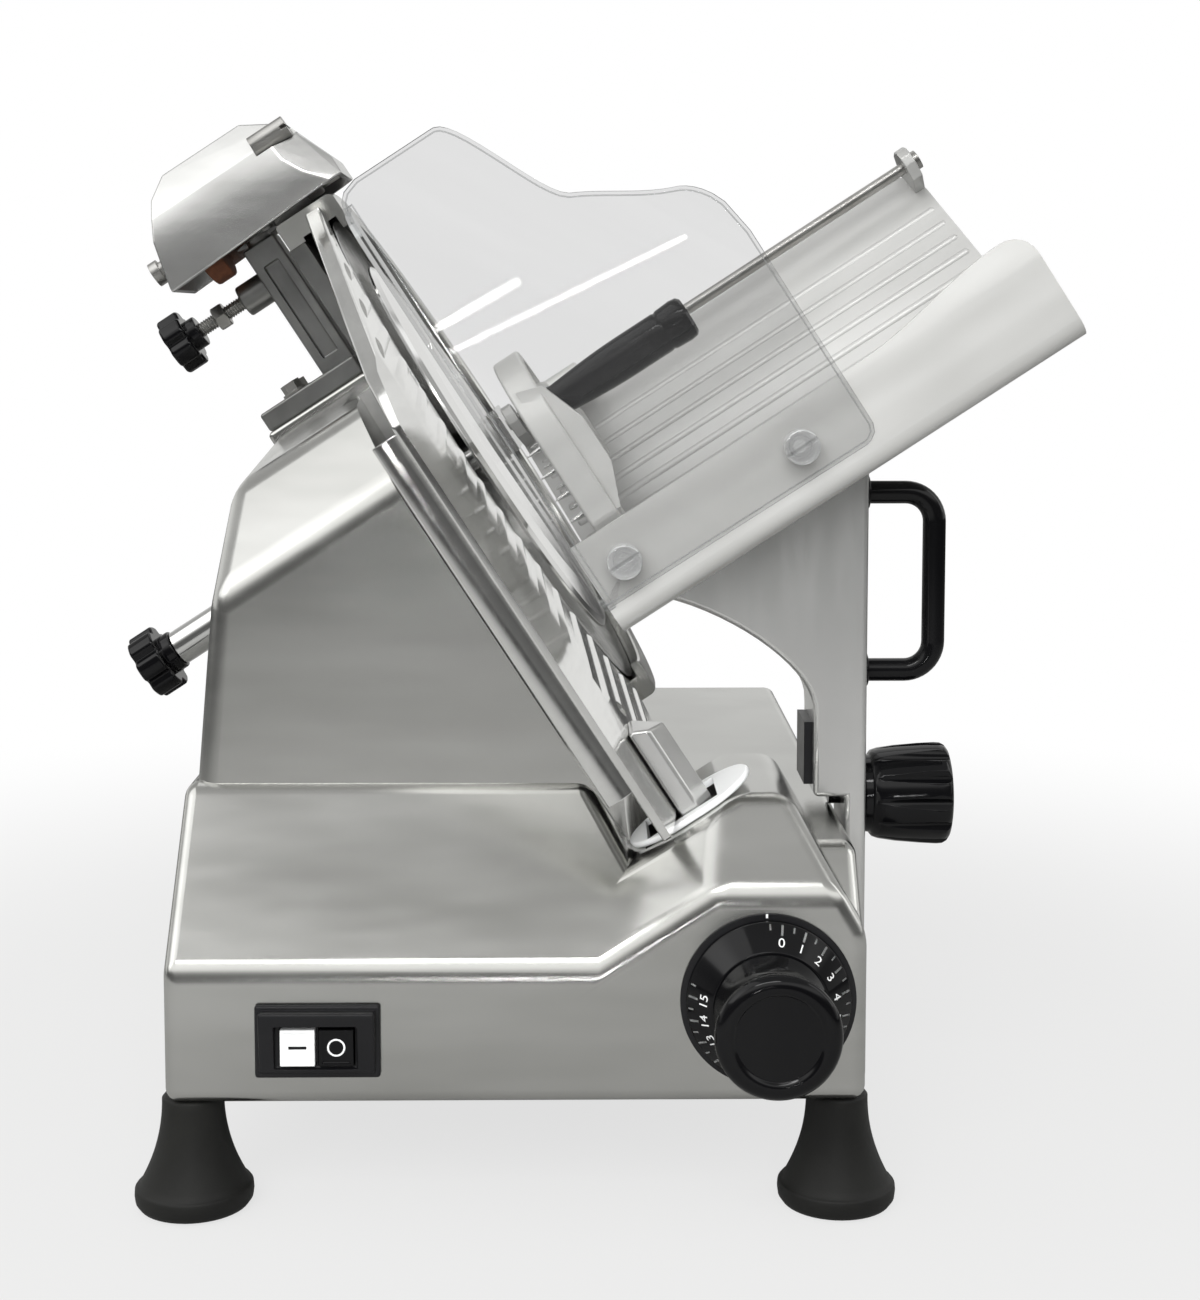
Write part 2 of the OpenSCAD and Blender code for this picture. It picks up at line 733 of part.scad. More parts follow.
module blade_cover() color(steel) place() slant() {
  union() {
    about_n(by, 0) polygon([
      [0, 2], [0, 6], [blade_r - 60, 6], [blade_r - 34, 4.5], [blade_r - 31, 2.5], [blade_r - 31, 1],
      [tie_d / 2 + 3, 1], [tie_d / 2 + 3, -4], [tie_d / 2 + run_c, -4], [tie_d / 2 + run_c, 2]
    ]);
    translate([1.5, by + blade_r - 60, -14]) cube([9.5, 28, 28]);
    translate([8, by + blade_r - 60, -14]) cube([3, 60 + ring_w - 5, 28]);
  }
}

module tie_tube() color(steel) place() slant() {
  about_n(by, 0) polygon([
    [tie_d / 2 + 0.5, -206], [tie_d / 2 + 6 - run_c, -206], [tie_d / 2 + 6 - run_c, -132], [tie_d / 2 + 0.5, -132]
  ]);
}

module tie_rod() color(steel) place() slant() {
  rod_n(-222, by, 0, tie_d, 222 + 1.5);
}

module lobed(d, h, bore, lobes) {
  linear_extrude(h) difference() {
    circle(d = d);
    circle(d = bore);
    for (k = [0 : lobes - 1])
      rotate(k * 360 / lobes) translate([d / 2 + 3, 0]) circle(d = d * 0.3, $fn = 32);
  }
}

module cover_knob() color(dark) place() slant() {
  translate([-228, by, 0]) rotate([0, 90, 0]) difference() {
    union() {
      lobed(lobe_d, 15, 1, 7);
      translate([0, 0, 14]) cylinder(d = lobe_d * 0.6, h = 7.5);
    }
    translate([0, 0, 6]) cylinder(d = tie_d + 2 * run_c, h = 20);
  }
}

// carriage
module slide_rods() color(steel) place() {
  rod_y(slide_x, post_y + 22, slide_z, slide_d, base_d - wall_t - 2 - post_y - 22);
  rod_y(guide_x, post_y + 22, slide_z, guide_d, base_d - wall_t - 2 - post_y - 22);
}

module rod_supports() color(metal) place() {
  difference() {
    for (y = [post_y + 21, base_d - wall_t - 8])
      translate([guide_x - 12, y, z0 + 3]) cube([x_right - wall_t - guide_x + 12, 8, slide_z + 14 - z0]);
    rod_y(slide_x, 60, slide_z, slide_d + 2 * run_c, base_d);
    rod_y(guide_x, 60, slide_z, guide_d + 2 * run_c, base_d);
  }
}

bush_w = 4;

module carriage_slider() color(metal) place() {
  difference() {
    translate([guide_x - 12, block_y0, slide_z - 18]) cube([x_right - wall_t - 3 - guide_x + 12, block_l, 36]);
    rod_y(slide_x, block_y0 - 1, slide_z, slide_d + 2 * bush_w, block_l + 2);
    rod_y(guide_x, block_y0 - 1, slide_z, guide_d + 0.6, block_l + 2);
  }
}

module carriage_bushes() color([0.72, 0.58, 0.30]) place() {
  for (y = [block_y0, block_y0 + block_l - 20])
    translate([slide_x, y, slide_z]) rotate([-90, 0, 0]) difference() {
      cylinder(d = slide_d + 2 * bush_w - 2 * run_c, h = 20);
      translate([0, 0, -1]) cylinder(d = slide_d + 2 * run_c, h = 22);
    }
}

// arm: from the slider, up outside the base and under the tray
arm_n0 = 44;
arm_n1 = (post_x1 - bx + tray_v * sin(tilt)) / cos(tilt);

module carriage_arm() color(metal) place() {
  y0 = rest_y - arm_w / 2;
  zl = z_deck + 7;
  xl = x_right - 13;
  difference() {
    union() {
      xz(y0, arm_w) polygon(concat(
        [[post_x1, slide_z - 12], [post_x1, wz(arm_n1, tray_v)], [wx(arm_n0, tray_v), wz(arm_n0, tray_v)]],
        [for (k = [1 : 7]) let (t = k / 8)
          [wx(arm_n0, tray_v) + (xl - wx(arm_n0, tray_v)) * sin(90 * t),
           wz(arm_n0, tray_v) + (zl + 40 - wz(arm_n0, tray_v)) * (1 - cos(90 * t))
           - 8 * sin(180 * t)]],
        [[xl, zl + 38], [xl, zl], [post_x0, zl], [post_x0, slide_z - 12]]
      ));
      translate([x_right - wall_t - 3, y0 + 3, slide_z - tongue_h / 2])
        cube([wall_t + 6, arm_w - 6, tongue_h]);
    }
    rod_x(post_x0 - 20, rest_y, lock_z, 10 + 2 * run_c, 60);
    for (z = [handle_z + handle_d / 2, handle_z + handle_h - handle_d / 2])
      rod_x(post_x0 - 10, rest_y, z, 5 + 2 * run_c, 60);
  }
}

module arm_pad() color(dark) place() {
  translate([x_right - 17, rest_y - 16, z_deck + 12]) cube([4, 32, 30]);
}

module tray_sketch() {
  v0 = tray_v;
  polygon([
    [tray_y0, v0 + near_h], [tray_y0, v0 + 6], [tray_y0 + 2, v0 + 2], [tray_y0 + 6, v0],
    [back_y0, v0], [back_y0 + 5, v0 + 2], [back_y0 + tray_lean + 3, v0 + back_h],
    [back_y0 + tray_lean + 3, v0 + back_h + 4], [back_y0 + tray_lean, v0 + back_h + 4], [back_y0 + tray_lean, v0 + back_h],
    [back_y0 + 2, v0 + tray_t + 1], [back_y0 - 2, v0 + tray_t],
    [tray_y0 + 7, v0 + tray_t], [tray_y0 + tray_t + 1, v0 + tray_t + 3], [tray_y0 + tray_t, v0 + 8],
    [tray_y0 + tray_t, v0 + near_h]
  ]);
}

// rise of the near wall at the far end, with a round corner
module wing_sketch() {
  n1 = tray_n0 + tray_l;
  v1 = tray_v + near_h;
  polygon(concat(
    [[n1, v1 - 4], [n1 - 92, v1 - 4]],
    [for (k = [0 : 8]) [n1 - 92 + 10 * k, v1 + 10 * ease(k / 8)]],
    [for (k = [1 : 4]) [n1 - 12 + 12 * sin(22.5 * k), v1 - 2 + 12 * cos(22.5 * k)]]
  ));
}

module tray() color(metal) place() slant() {
  difference() {
    union() {
      yz(tray_n0, tray_l) tray_sketch();
      translate([0, tray_y0 + tray_t, 0]) rotate([90, 0, 0]) linear_extrude(tray_t) wing_sketch();
      // ribs along the feed on the back wall
      for (k = [0 : back_ribs - 1]) let (t = 0.18 + 0.62 * k / max(1, back_ribs - 1))
        yz(tray_n0 + 2, tray_l - 4)
          translate([back_y0 + tray_lean * t + 1.5, tray_v + tray_t + (back_h - tray_t) * t]) circle(d = 4, $fn = 16);
      // ears for the pusher rod
      for (n = [tray_n0, tray_n0 + tray_l - 6])
        yz(n, 6) polygon([
          [rod_y - 9, rod_pv], [rod_y - 5, rod_pv + 9], [rod_y + 6, rod_pv + 9],
          [back_y0 + tray_lean + 3, tray_v + back_h + 4],
          [back_y0 + tray_lean - 6, tray_v + back_h - 12], [rod_y - 6, rod_pv - 8]
        ]);
    }
    rod_n(tray_n0 - 2, rod_y, rod_pv, rod_d + 2 * run_c, tray_l + 10);
    for (n = thumb_at) rod_y(n, tray_y0 - 1, thumb_v, 6 + 2 * run_c, tray_t + 2);
    for (n = [arm_n0 + 22, arm_n1 - 18], k = [-1, 1])
      translate([n, rest_y + k * 12, tray_v - 1]) cylinder(d = 5 + 2 * run_c, h = tray_t + 2);
  }
}

module push_handle() color(dark) place() {
  r = 14;
  x0 = post_x1;
  x1 = x0 + handle_w - handle_d / 2;
  z1 = handle_z + handle_d / 2;
  z2 = handle_z + handle_h - handle_d / 2;
  union() {
    rod_x(x0, rest_y, z1, handle_d, handle_w - handle_d / 2 - r);
    rod_x(x0, rest_y, z2, handle_d, handle_w - handle_d / 2 - r);
    translate([x1, rest_y, z1 + r]) cylinder(d = handle_d, h = z2 - z1 - 2 * r);
    translate([x1 - r, rest_y, z1 + r]) rotate([90, 0, 0]) rotate([0, 0, 270]) rotate_extrude(angle = 90)
      translate([r, 0]) circle(d = handle_d, $fn = 32);
    translate([x1 - r, rest_y, z2 - r]) rotate([90, 0, 0]) rotate_extrude(angle = 90)
      translate([r, 0]) circle(d = handle_d, $fn = 32);
    for (z = [z1, z2]) rod_x(x0, rest_y, z, handle_d + 5, 3);
  }
}

module carriage_screws() color(steel) place() {
  slant() for (n = [arm_n0 + 22, arm_n1 - 18], k = [-1, 1])
    translate([n, rest_y + k * 12, tray_v]) union() {
      cylinder(d = 5, h = tray_t);
      translate([0, 0, tray_t]) cylinder(d1 = 10, d2 = 7, h = 2);
    }
  for (z = [handle_z + handle_d / 2, handle_z + handle_h - handle_d / 2])
    rod_x(post_x0 - 3, rest_y, z, 5, post_x1 - post_x0 + 3 - gap_c);
}

module lock_knob() color(dark) place() {
  translate([post_x1 + gap_c, rest_y, lock_z]) rotate([0, 90, 0]) {
    union() {
      translate([0, 0, -arm_t - 6]) cylinder(d = 10, h = arm_t + 8);
      cylinder(d1 = knob_d - 6, d2 = knob_d - 4, h = 4);
      translate([0, 0, 4]) linear_extrude(knob_l - 7) difference() {
        circle(d = knob_d);
        for (a = [0 : 20 : 340]) rotate(a) translate([knob_d / 2 + 0.6, 0]) circle(d = 4, $fn = 16);
      }
      translate([0, 0, knob_l - 3]) cylinder(d1 = knob_d - 2.6, d2 = knob_d - 8, h = 3);
    }
  }
}

thumb_at = [tray_n0 + 18, tray_n0 + 112];
thumb_v = tray_v + near_h - 17;
guard_n1 = tray_n0 + 145;
guard_top = 138;

function guard_v(n) = guard_top - 52 * ease((n - 74) / 36) - 30 * ease((n - 92) / 70)
  - 32 * (n > guard_n1 - 18 ? 1 - sqrt(max(0, 1 - pow((n - guard_n1 + 18) / 18, 2))) : 0);

module guard_sketch() {
  n0 = tray_n0 - 2;
  polygon(concat(
    [[n0, thumb_v - 15], [n0, guard_top - 10], [n0 + 4, guard_top - 3], [n0 + 12, guard_top]],
    [for (k = [0 : 30]) let (n = 40 + (guard_n1 - 40) * k / 30) [n, guard_v(n)]],
    [[guard_n1, thumb_v - 9], [guard_n1 - 3, thumb_v - 14], [guard_n1 - 8, thumb_v - 16]]
  ));
}

module hand_guard() color([0.85, 0.90, 0.92, 0.45]) place() slant() {
  difference() {
    union() {
      translate([0, tray_y0, 0]) rotate([90, 0, 0]) linear_extrude(guard_t) guard_sketch();
      translate([tray_n0 - 2, 0, 0]) rotate([90, 0, 90]) linear_extrude(guard_t) polygon([
        [tray_y0, thumb_v - 15], [tray_y0, guard_top - 10], [tray_y0 - 24, guard_top - 18],
        [tray_y0 - 30, guard_top - 34],
        [tray_y0 - 30, 20], [tray_y0 - 8, thumb_v - 6]
      ]);
    }
    for (n = thumb_at) rod_y(n, tray_y0 - guard_t - 2, thumb_v, 6 + 2 * run_c, guard_t + 4);
  }
}

module guard_screws() color([0.88, 0.91, 0.93, 0.6]) place() slant() {
  for (n = thumb_at) translate([n, tray_y0 - guard_t, thumb_v]) difference() {
    union() {
      rotate([90, 0, 0]) cylinder(d = thumb_d, h = 11);
      rotate([-90, 0, 0]) cylinder(d = 6, h = guard_t + tray_t + 3);
    }
    translate([-thumb_d, -13, -1]) cube([2 * thumb_d, 4, 2]);
  }
}

module pusher_rod() color(steel) place() slant() {
  union() {
    rod_n(tray_n0 - 1, rod_y, rod_pv, rod_d, tray_l + 2);
    rod_n(tray_n0 + tray_l, rod_y, rod_pv, rod_d + 4, 3);
  }
}

pusher_n = tray_n0 + 3;
push_y0 = tray_y0 + 16;
push_y1 = push_y0 + 92;
grip_y = push_y0 + 26;
bush_od = rod_d + 8;

module pusher_bush() color(dark) place() slant() {
  translate([pusher_n + 4, rod_y, rod_pv]) rotate([0, 90, 0]) difference() {
    cylinder(d = rod_d + 4, h = 42);
    translate([0, 0, -1]) cylinder(d = rod_d + 2 * run_c, h = 44);
  }
}

module push_sketch(o) {
  polygon(concat(
    [[push_y0 + 8 + 0.6 * o, -62 + o], [push_y0 + o, -50 + 0.4 * o]],
    [for (k = [0 : 16]) let (a = 180 - 11.25 * k) [push_y0 + 46 + (46 - o) * cos(a), -6 + (42 - o) * sin(a)]],
    [[push_y1 - o, -46 + 0.4 * o], [push_y1 - 10 - 0.6 * o, -62 + o]]
  ));
}

module pusher_arm() color(metal) place() slant() {
  difference() {
    union() {
      rod_n(pusher_n + 5, rod_y, rod_pv, bush_od + 4, 38);
      translate([pusher_n + 10, push_y1 - 16, rod_pv - 3]) cube([26, rod_y - push_y1 + 16, 9]);
      // plate with a rim behind it
      difference() {
        yz(pusher_n + 10, 14) push_sketch(0);
        yz(pusher_n + 16, 20) push_sketch(6);
        rod_n(pusher_n, push_y0 + 46, -30, 26, 40);
      }
      rod_n(pusher_n + 11, grip_y, 6, 8, 30);
      rod_n(pusher_n + 18, grip_y, 6, 15, 5);
      // stiffening webs behind the plate
      for (y = [push_y0 + 6, push_y1 - 22])
        translate([pusher_n + 15, y, -50]) xz_web();
    }
    rod_n(pusher_n, rod_y, rod_pv, rod_d + 4 + 2 * run_c, 60);
    for (y = tooth_y, v = tooth_v)
      rod_n(pusher_n + 9, y, v, 3 + 2 * run_c, 6);
  }
}

module xz_web() {
  rotate([90, 0, 0]) translate([0, 0, -8]) linear_extrude(8)
    polygon([[0, 0], [11, 0], [19, 20], [19, 44], [11, 66], [0, 70]]);
}

tooth_y = [push_y0 + 8, push_y0 + 16, push_y1 - 16, push_y1 - 8];
tooth_v = [-44, -32, -20, -8];

module pusher_teeth() color(steel) place() slant() {
  for (y = tooth_y, v = tooth_v)
    translate([pusher_n + 14, y, v]) rotate([0, -90, 0]) union() {
      cylinder(d = 3, h = 5, $fn = 24);
      translate([0, 0, 5]) cylinder(d1 = 3, d2 = 0.6, h = 7, $fn = 24);
    }
}

module pusher_grip() color(dark) place() slant() {
  translate([pusher_n + 23, grip_y, 6]) rotate([0, 90, 0]) difference() {
    rotate_extrude() polygon([
      [0, 0], [grip_d / 2 - 2.6, 0], [grip_d / 2 - 2, 4], [grip_d / 2, grip_l * 0.55],
      [grip_d / 2 - 0.6, grip_l - 16], [grip_d / 2 - 0.4, grip_l - 14], [grip_d / 2 + 0.8, grip_l - 4], [grip_d / 2 - 0.2, grip_l - 1],
      [grip_d / 2 - 2, grip_l], [0, grip_l]
    ]);
    translate([0, 0, -1]) cylinder(d = 8 + 2 * run_c, h = 20);
  }
}

// sharpener
module sharp_bracket() color(metal) place() slant() {
  difference() {
    union() {
      translate([post_sn - 50, by - 24, foot_sv]) cube([61, 48, 11]);
      translate([post_sn - 10, by - 12, foot_sv + 10]) cube([20, 24, head_v - 3 - foot_sv - 10]);
      rod_n(post_sn - 26, by, lock_v, 18, 18);
      translate([post_sn, by, head_v - 6]) cylinder(d = post_d, h = 6 + sharp_h - 10);
    }
    translate([post_sn - 3, by - 13, foot_sv + 24]) cube([6, 6, head_v - foot_sv - 48]);
    rod_n(post_sn - 40, by, lock_v, 8 + 2 * run_c, 30);
    for (k = [-1, 1]) translate([post_sn - 28, by + k * 12, foot_sv - 1]) cylinder(d = 6 + 2 * run_c, h = 14);
  }
}

module sharp_bolts() color(steel) place() slant() {
  for (k = [-1, 1]) translate([post_sn - 28, by + k * 12, foot_sv - 12]) union() {
    cylinder(d = 6 - 2 * run_c, h = 23);
    translate([0, 0, 23]) cylinder(d = 14, h = 1.6);
    translate([0, 0, 24.6]) cylinder(d = 11.5, h = 5, $fn = 6);
  }
}

module sharp_sleeve() color(metal) place() slant() {
  translate([post_sn, by, head_v]) difference() {
    cylinder(d = post_d + 12, h = sharp_h - sharp_t);
    translate([0, 0, -1]) cylinder(d = post_d + 2 * run_c, h = sharp_h - sharp_t - 3);
  }
}

module cover_sec(o) {
  polygon([
    [head_n0 + o, head_v - 1], [head_n0 + 6 + o, head_v + 26], [head_n0 + 16 + o, head_v + sharp_h - 9 - o],
    [head_n0 + 28 + o, head_v + sharp_h - o], [head_n1 - 34, head_v + sharp_h - o],
    [head_n1 - 12 - o, head_v + sharp_h - 14 - o], [head_n1 - o, head_v + 12], [head_n1 - o, head_v - 1]
  ]);
}

// near and far face of the cover, up to its crease
module cover_front(o, h) {
  polygon([
    [head_n0 + 2 + o, head_v], [head_n0 + 11 + o, head_v + h], [head_n1 - 43 - o, head_v + h],
    [head_n1 - 9 - 1.2 * o, head_v + 3], [head_n1 - 9 - 1.2 * o, head_v]
  ]);
}

module sharp_cover() color(metal) place() slant() {
  difference() {
    hull() {
      translate([0, by + sharp_w / 2 - 12, 0]) rotate([90, 0, 0]) linear_extrude(sharp_w - 24) cover_sec(0);
      translate([0, by + sharp_w / 2, 0]) rotate([90, 0, 0]) linear_extrude(sharp_w)
        cover_front(0, sharp_h - 19);
    }
    translate([0, by + sharp_w / 2 - 12, 0]) rotate([90, 0, 0]) linear_extrude(sharp_w - 24) cover_sec(sharp_t);
    translate([0, by + sharp_w / 2 - sharp_t, -3]) rotate([90, 0, 0]) linear_extrude(sharp_w - 2 * sharp_t)
      cover_front(4, sharp_h - 26);
    // bottom stays open
    translate([head_n0 - 5, by - sharp_w, head_v - 20]) cube([sharp_l + 20, 2 * sharp_w, 20]);
    rod_n(head_n0 - 8, by, head_v + 14, 10 + 2 * run_c, 30);
    rod_n(head_n1 - 34, by - 24, head_v + sharp_h - 16, 13, 30);
  }
}

module grind_button() color(steel) place() slant() {
  union() {
    rod_n(head_n0 - 8, by, head_v + 14, 14, 5);
    rod_n(head_n0 - 4, by, head_v + 14, 10, 32);
  }
}

module sharp_stones() color([0.45, 0.22, 0.13]) place() slant() {
  difference() {
    rod_n(head_n0 + 19, by, head_v + 14, stone_d, 12);
    rod_n(head_n0 + 14, by, head_v + 14, 10 + 2 * gap_c, 30);
  }
  rod_n(head_n1 - 25, by, head_v + 15, 28, 10);
  rod_n(head_n1 - 16, by, head_v + 7, 8, 16 - sharp_t);
}

module hone_button() color(steel) place() slant() {
  difference() {
    rod_n(head_n1 - 34 + gap_c, by - 24, head_v + sharp_h - 16, 12.2, 22);
    translate([head_n1 - 15, by - 24 - 7, head_v + sharp_h - 17]) cube([4, 14, 2]);
  }
}

module lock_screw() color(steel) place() slant() {
  union() {
    rod_n(post_sn - 67, by, lock_v, 8, 57 - gap_c);
    translate([post_sn - 44, by, lock_v]) rotate([0, 90, 0]) cylinder(d = 15, h = 7, $fn = 6);
  }
}

module sharp_knob() color(dark) place() slant() {
  translate([post_sn - 73, by, lock_v]) rotate([0, 90, 0]) difference() {
    union() {
      lobed(lock_d, 13, 1, 6);
      translate([0, 0, 12]) cylinder(d = lock_d * 0.55, h = 7);
    }
    translate([0, 0, 5]) cylinder(d = 8 + 2 * run_c, h = 20);
  }
}

base_housing();
bottom_cover();
feet();
foot_bolts();
cord_gland();
switch_bezel();
switch_body();
switch_springs();
on_button();
off_button();
dial_ring();
dial_scale();
dial_grip();
dial_axle();
cam_plate();
gauge_plate();
gauge_seal();
gauge_slider();
gauge_rods();
gauge_bracket();
blade();
blade_screws();
blade_shaft();
hub_bearings();
bearing_housing();
drive_belt();
motor();
motor_rotor();
motor_mount();
blade_ring();
blade_cover();
tie_tube();
tie_rod();
cover_knob();
slide_rods();
rod_supports();
carriage_slider();
carriage_bushes();
carriage_arm();
arm_pad();
tray();
push_handle();
carriage_screws();
lock_knob();
hand_guard();
guard_screws();
pusher_rod();
pusher_bush();
pusher_arm();
pusher_teeth();
pusher_grip();
sharp_bracket();
sharp_bolts();
sharp_sleeve();
sharp_cover();
grind_button();
sharp_stones();
hone_button();
lock_screw();
sharp_knob();
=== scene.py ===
# %% [markdown]
# # Gravity feed slicer
# The construction model comes in as a fixed frame: every node has its real size and place, and moves with
# its body. This lesson keeps that frame and adds what a construction model lacks: soft cast edges, a
# moulded dial with numbers, a bent clear guard, ribbed sheet metal, threads, and finishes made of nodes.

# %% Load the frame
import json
import math
import bpy
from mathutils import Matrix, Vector


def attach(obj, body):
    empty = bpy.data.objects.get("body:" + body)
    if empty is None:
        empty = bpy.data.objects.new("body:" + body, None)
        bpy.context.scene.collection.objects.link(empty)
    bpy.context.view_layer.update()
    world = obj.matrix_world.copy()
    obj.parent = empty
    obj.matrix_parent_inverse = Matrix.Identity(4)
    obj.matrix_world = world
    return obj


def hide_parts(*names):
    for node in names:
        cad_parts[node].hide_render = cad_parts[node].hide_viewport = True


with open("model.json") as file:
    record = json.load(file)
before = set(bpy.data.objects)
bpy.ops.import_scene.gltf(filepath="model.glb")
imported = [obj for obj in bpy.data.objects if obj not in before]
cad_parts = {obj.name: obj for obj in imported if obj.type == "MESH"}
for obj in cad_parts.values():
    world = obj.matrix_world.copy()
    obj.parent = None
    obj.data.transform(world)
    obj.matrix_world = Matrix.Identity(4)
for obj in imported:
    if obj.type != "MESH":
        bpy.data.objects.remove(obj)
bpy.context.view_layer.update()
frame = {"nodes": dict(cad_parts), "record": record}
nodes = frame["nodes"]

# %% [markdown]
# ## Two frames for measuring
# Sizes are in millimetres from the base's own corner, as on a drawing. The blade leans, so pieces near it
# are drawn in a slanted frame: n across the blade, Y to the back, v up the slope. One helper turns a
# finished piece into place, and applies it, so that every object ends at the origin.

# %% Sizes and frames
MM = 0.001
TILT = math.radians(33)
OX, OY = -10.455, 201.5
Z0 = 50.0
BX, BY, BZ = -50.0, 290.0, Z0 + 266
ALONG_X, ALONG_Y, ALONG_Z = (1, 0, 0), (0, 1, 0), (0, 0, 1)


def base_point(x, y, z):
    return Vector(((x - OX) * MM, (y - OY) * MM, z * MM))


def slant_axis(n, y, v):
    return (n * math.cos(TILT) - v * math.sin(TILT), y, n * math.sin(TILT) + v * math.cos(TILT))


def slant_mm(n, y, v):
    x, y, z = slant_axis(n, y, v)
    return (x + BX, y, z + BZ)


print("blade centre:", [round(c, 4) for c in base_point(*slant_mm(0, BY, 0))])

# %% [markdown]
# ## Camera
# The photograph was taken from the front, a little above the deck, with the lens slightly shifted. The
# focal length and the shift come from the picture's own vanishing point.

# %% Camera
camera_data = bpy.data.cameras.new("photo_camera")
camera_data.lens = 58.15
camera_data.sensor_width = 36
camera_data.shift_y = -0.1146
camera = bpy.data.objects.new("photo_camera", camera_data)
bpy.context.scene.collection.objects.link(camera)
camera.location = base_point(0, -882, Z0 + 339)
camera.rotation_euler = (math.radians(85), 0, math.radians(-0.68))
bpy.context.scene.camera = camera
print("camera at", [round(c, 3) for c in camera.location])


# %% Node helpers
def set_inputs(node, values):
    for socket, value in values.items():
        node.inputs[socket].default_value = value
    return node


def add_node(tree, kind, values={}, **settings):
    node = tree.nodes.new("ShaderNode" + kind)
    for key, value in settings.items():
        setattr(node, key, value)
    return set_inputs(node, values)


def wire(tree, *pairs):
    for output, socket in pairs:
        tree.links.new(output, socket)


print("node helpers ready")

# %% [markdown]
# ## Floor and studio light
# Bare metal is only as good as what it mirrors. The sky is a soft room: dim in front at eye level, with a
# light band above it that draws a bright line on every rounded edge, and a bright back wall that whitens
# the top faces. A wide wash lights the front without showing in the metal. Two thin tubes far in front
# leave the white streaks in the clear guard. The floor fades to plain white, so that no horizon shows.

# %% Sky levels
FRONT_SKY = [(0.0, 0.25), (0.44, 0.22), (0.50, 0.14), (0.60, 0.10), (0.68, 0.25), (0.74, 1.3), (0.82, 1.3),
             (0.89, 0.50), (1.0, 0.50)]
BACK_SKY = [(0.0, 0.50), (0.50, 0.80), (0.57, 0.80), (0.66, 0.54), (0.78, 0.42), (1.0, 0.42)]
FRONT_TO_BACK = [(0.35, 0.0), (0.62, 1.0)]

# %% Floor
FLOOR_RADIUS, FLOOR_DROP = 9, 0.0005
bpy.ops.object.select_all(action="DESELECT")
bpy.ops.mesh.primitive_circle_add(vertices=96, radius=FLOOR_RADIUS, fill_type="NGON",
                                  location=(0, 0, -FLOOR_DROP))
floor = bpy.context.object
floor.name = "studio_floor"
floor_mat = bpy.data.materials.new("studio_floor")
floor_mat.use_nodes = True
floor_tree = floor_mat.node_tree
floor_bsdf = set_inputs(floor_tree.nodes["Principled BSDF"], {"Roughness": 0.8, "Specular IOR Level": 0.2})
floor_coord = add_node(floor_tree, "TexCoord")
floor_far = add_node(floor_tree, "VectorMath", operation="LENGTH")
floor_fade = add_node(floor_tree, "MapRange", {"From Min": 0.30, "From Max": 0.95, "To Min": 0.72},
                      interpolation_type="SMOOTHSTEP")
floor_shade = add_node(floor_tree, "MapRange", {"From Min": 0.6, "From Max": 2.3})
floor_tone = add_node(floor_tree, "ValToRGB")
floor_tone.color_ramp.elements[0].color = (0.35, 0.35, 0.345, 1)
floor_tone.color_ramp.elements[1].color = (0.05, 0.05, 0.05, 1)
floor_path = add_node(floor_tree, "LightPath")
floor_seen = add_node(floor_tree, "Math", operation="MULTIPLY")
floor_white = add_node(floor_tree, "Emission", {"Color": (1, 1, 1, 1)})
floor_mix = add_node(floor_tree, "MixShader")
wire(floor_tree,
     (floor_coord.outputs["Object"], floor_far.inputs[0]),
     (floor_far.outputs["Value"], floor_fade.inputs["Value"]),
     (floor_far.outputs["Value"], floor_shade.inputs["Value"]),
     (floor_shade.outputs["Result"], floor_tone.inputs["Fac"]),
     (floor_tone.outputs["Color"], floor_bsdf.inputs["Base Color"]),
     (floor_fade.outputs["Result"], floor_seen.inputs[0]),
     (floor_path.outputs["Is Camera Ray"], floor_seen.inputs[1]),
     (floor_seen.outputs["Value"], floor_mix.inputs["Fac"]),
     (floor_bsdf.outputs["BSDF"], floor_mix.inputs[1]),
     (floor_white.outputs["Emission"], floor_mix.inputs[2]),
     (floor_mix.outputs["Shader"], floor_tree.nodes["Material Output"].inputs["Surface"]))
floor.data.materials.append(floor_mat)

# %% Sky
world = bpy.data.worlds.new("studio_sky")
bpy.context.scene.world = world
world.use_nodes = True
sky = world.node_tree
sky.nodes.clear()
sky_out = add_node(sky, "OutputWorld")
sky_bg = add_node(sky, "Background", {"Strength": 1.0})
sky_plain = add_node(sky, "Background", {"Color": (1, 1, 1, 1)})
sky_mix = add_node(sky, "MixShader")
sky_path = add_node(sky, "LightPath")
sky_coord = add_node(sky, "TexCoord")
sky_split = add_node(sky, "SeparateXYZ")
sky_blend = add_node(sky, "Mix", data_type="RGBA")


def sky_band(source, bands):
    spot = add_node(sky, "MapRange", {"From Min": -1})
    ramp = add_node(sky, "ValToRGB")
    stops = ramp.color_ramp.elements
    while len(stops) < len(bands):
        stops.new(0.5)
    for stop, (place, level) in zip(stops, bands):
        stop.position = place
        stop.color = (level, level, level * 0.985, 1)
    wire(sky, (source, spot.inputs["Value"]), (spot.outputs["Result"], ramp.inputs["Fac"]))
    return ramp.outputs["Color"]


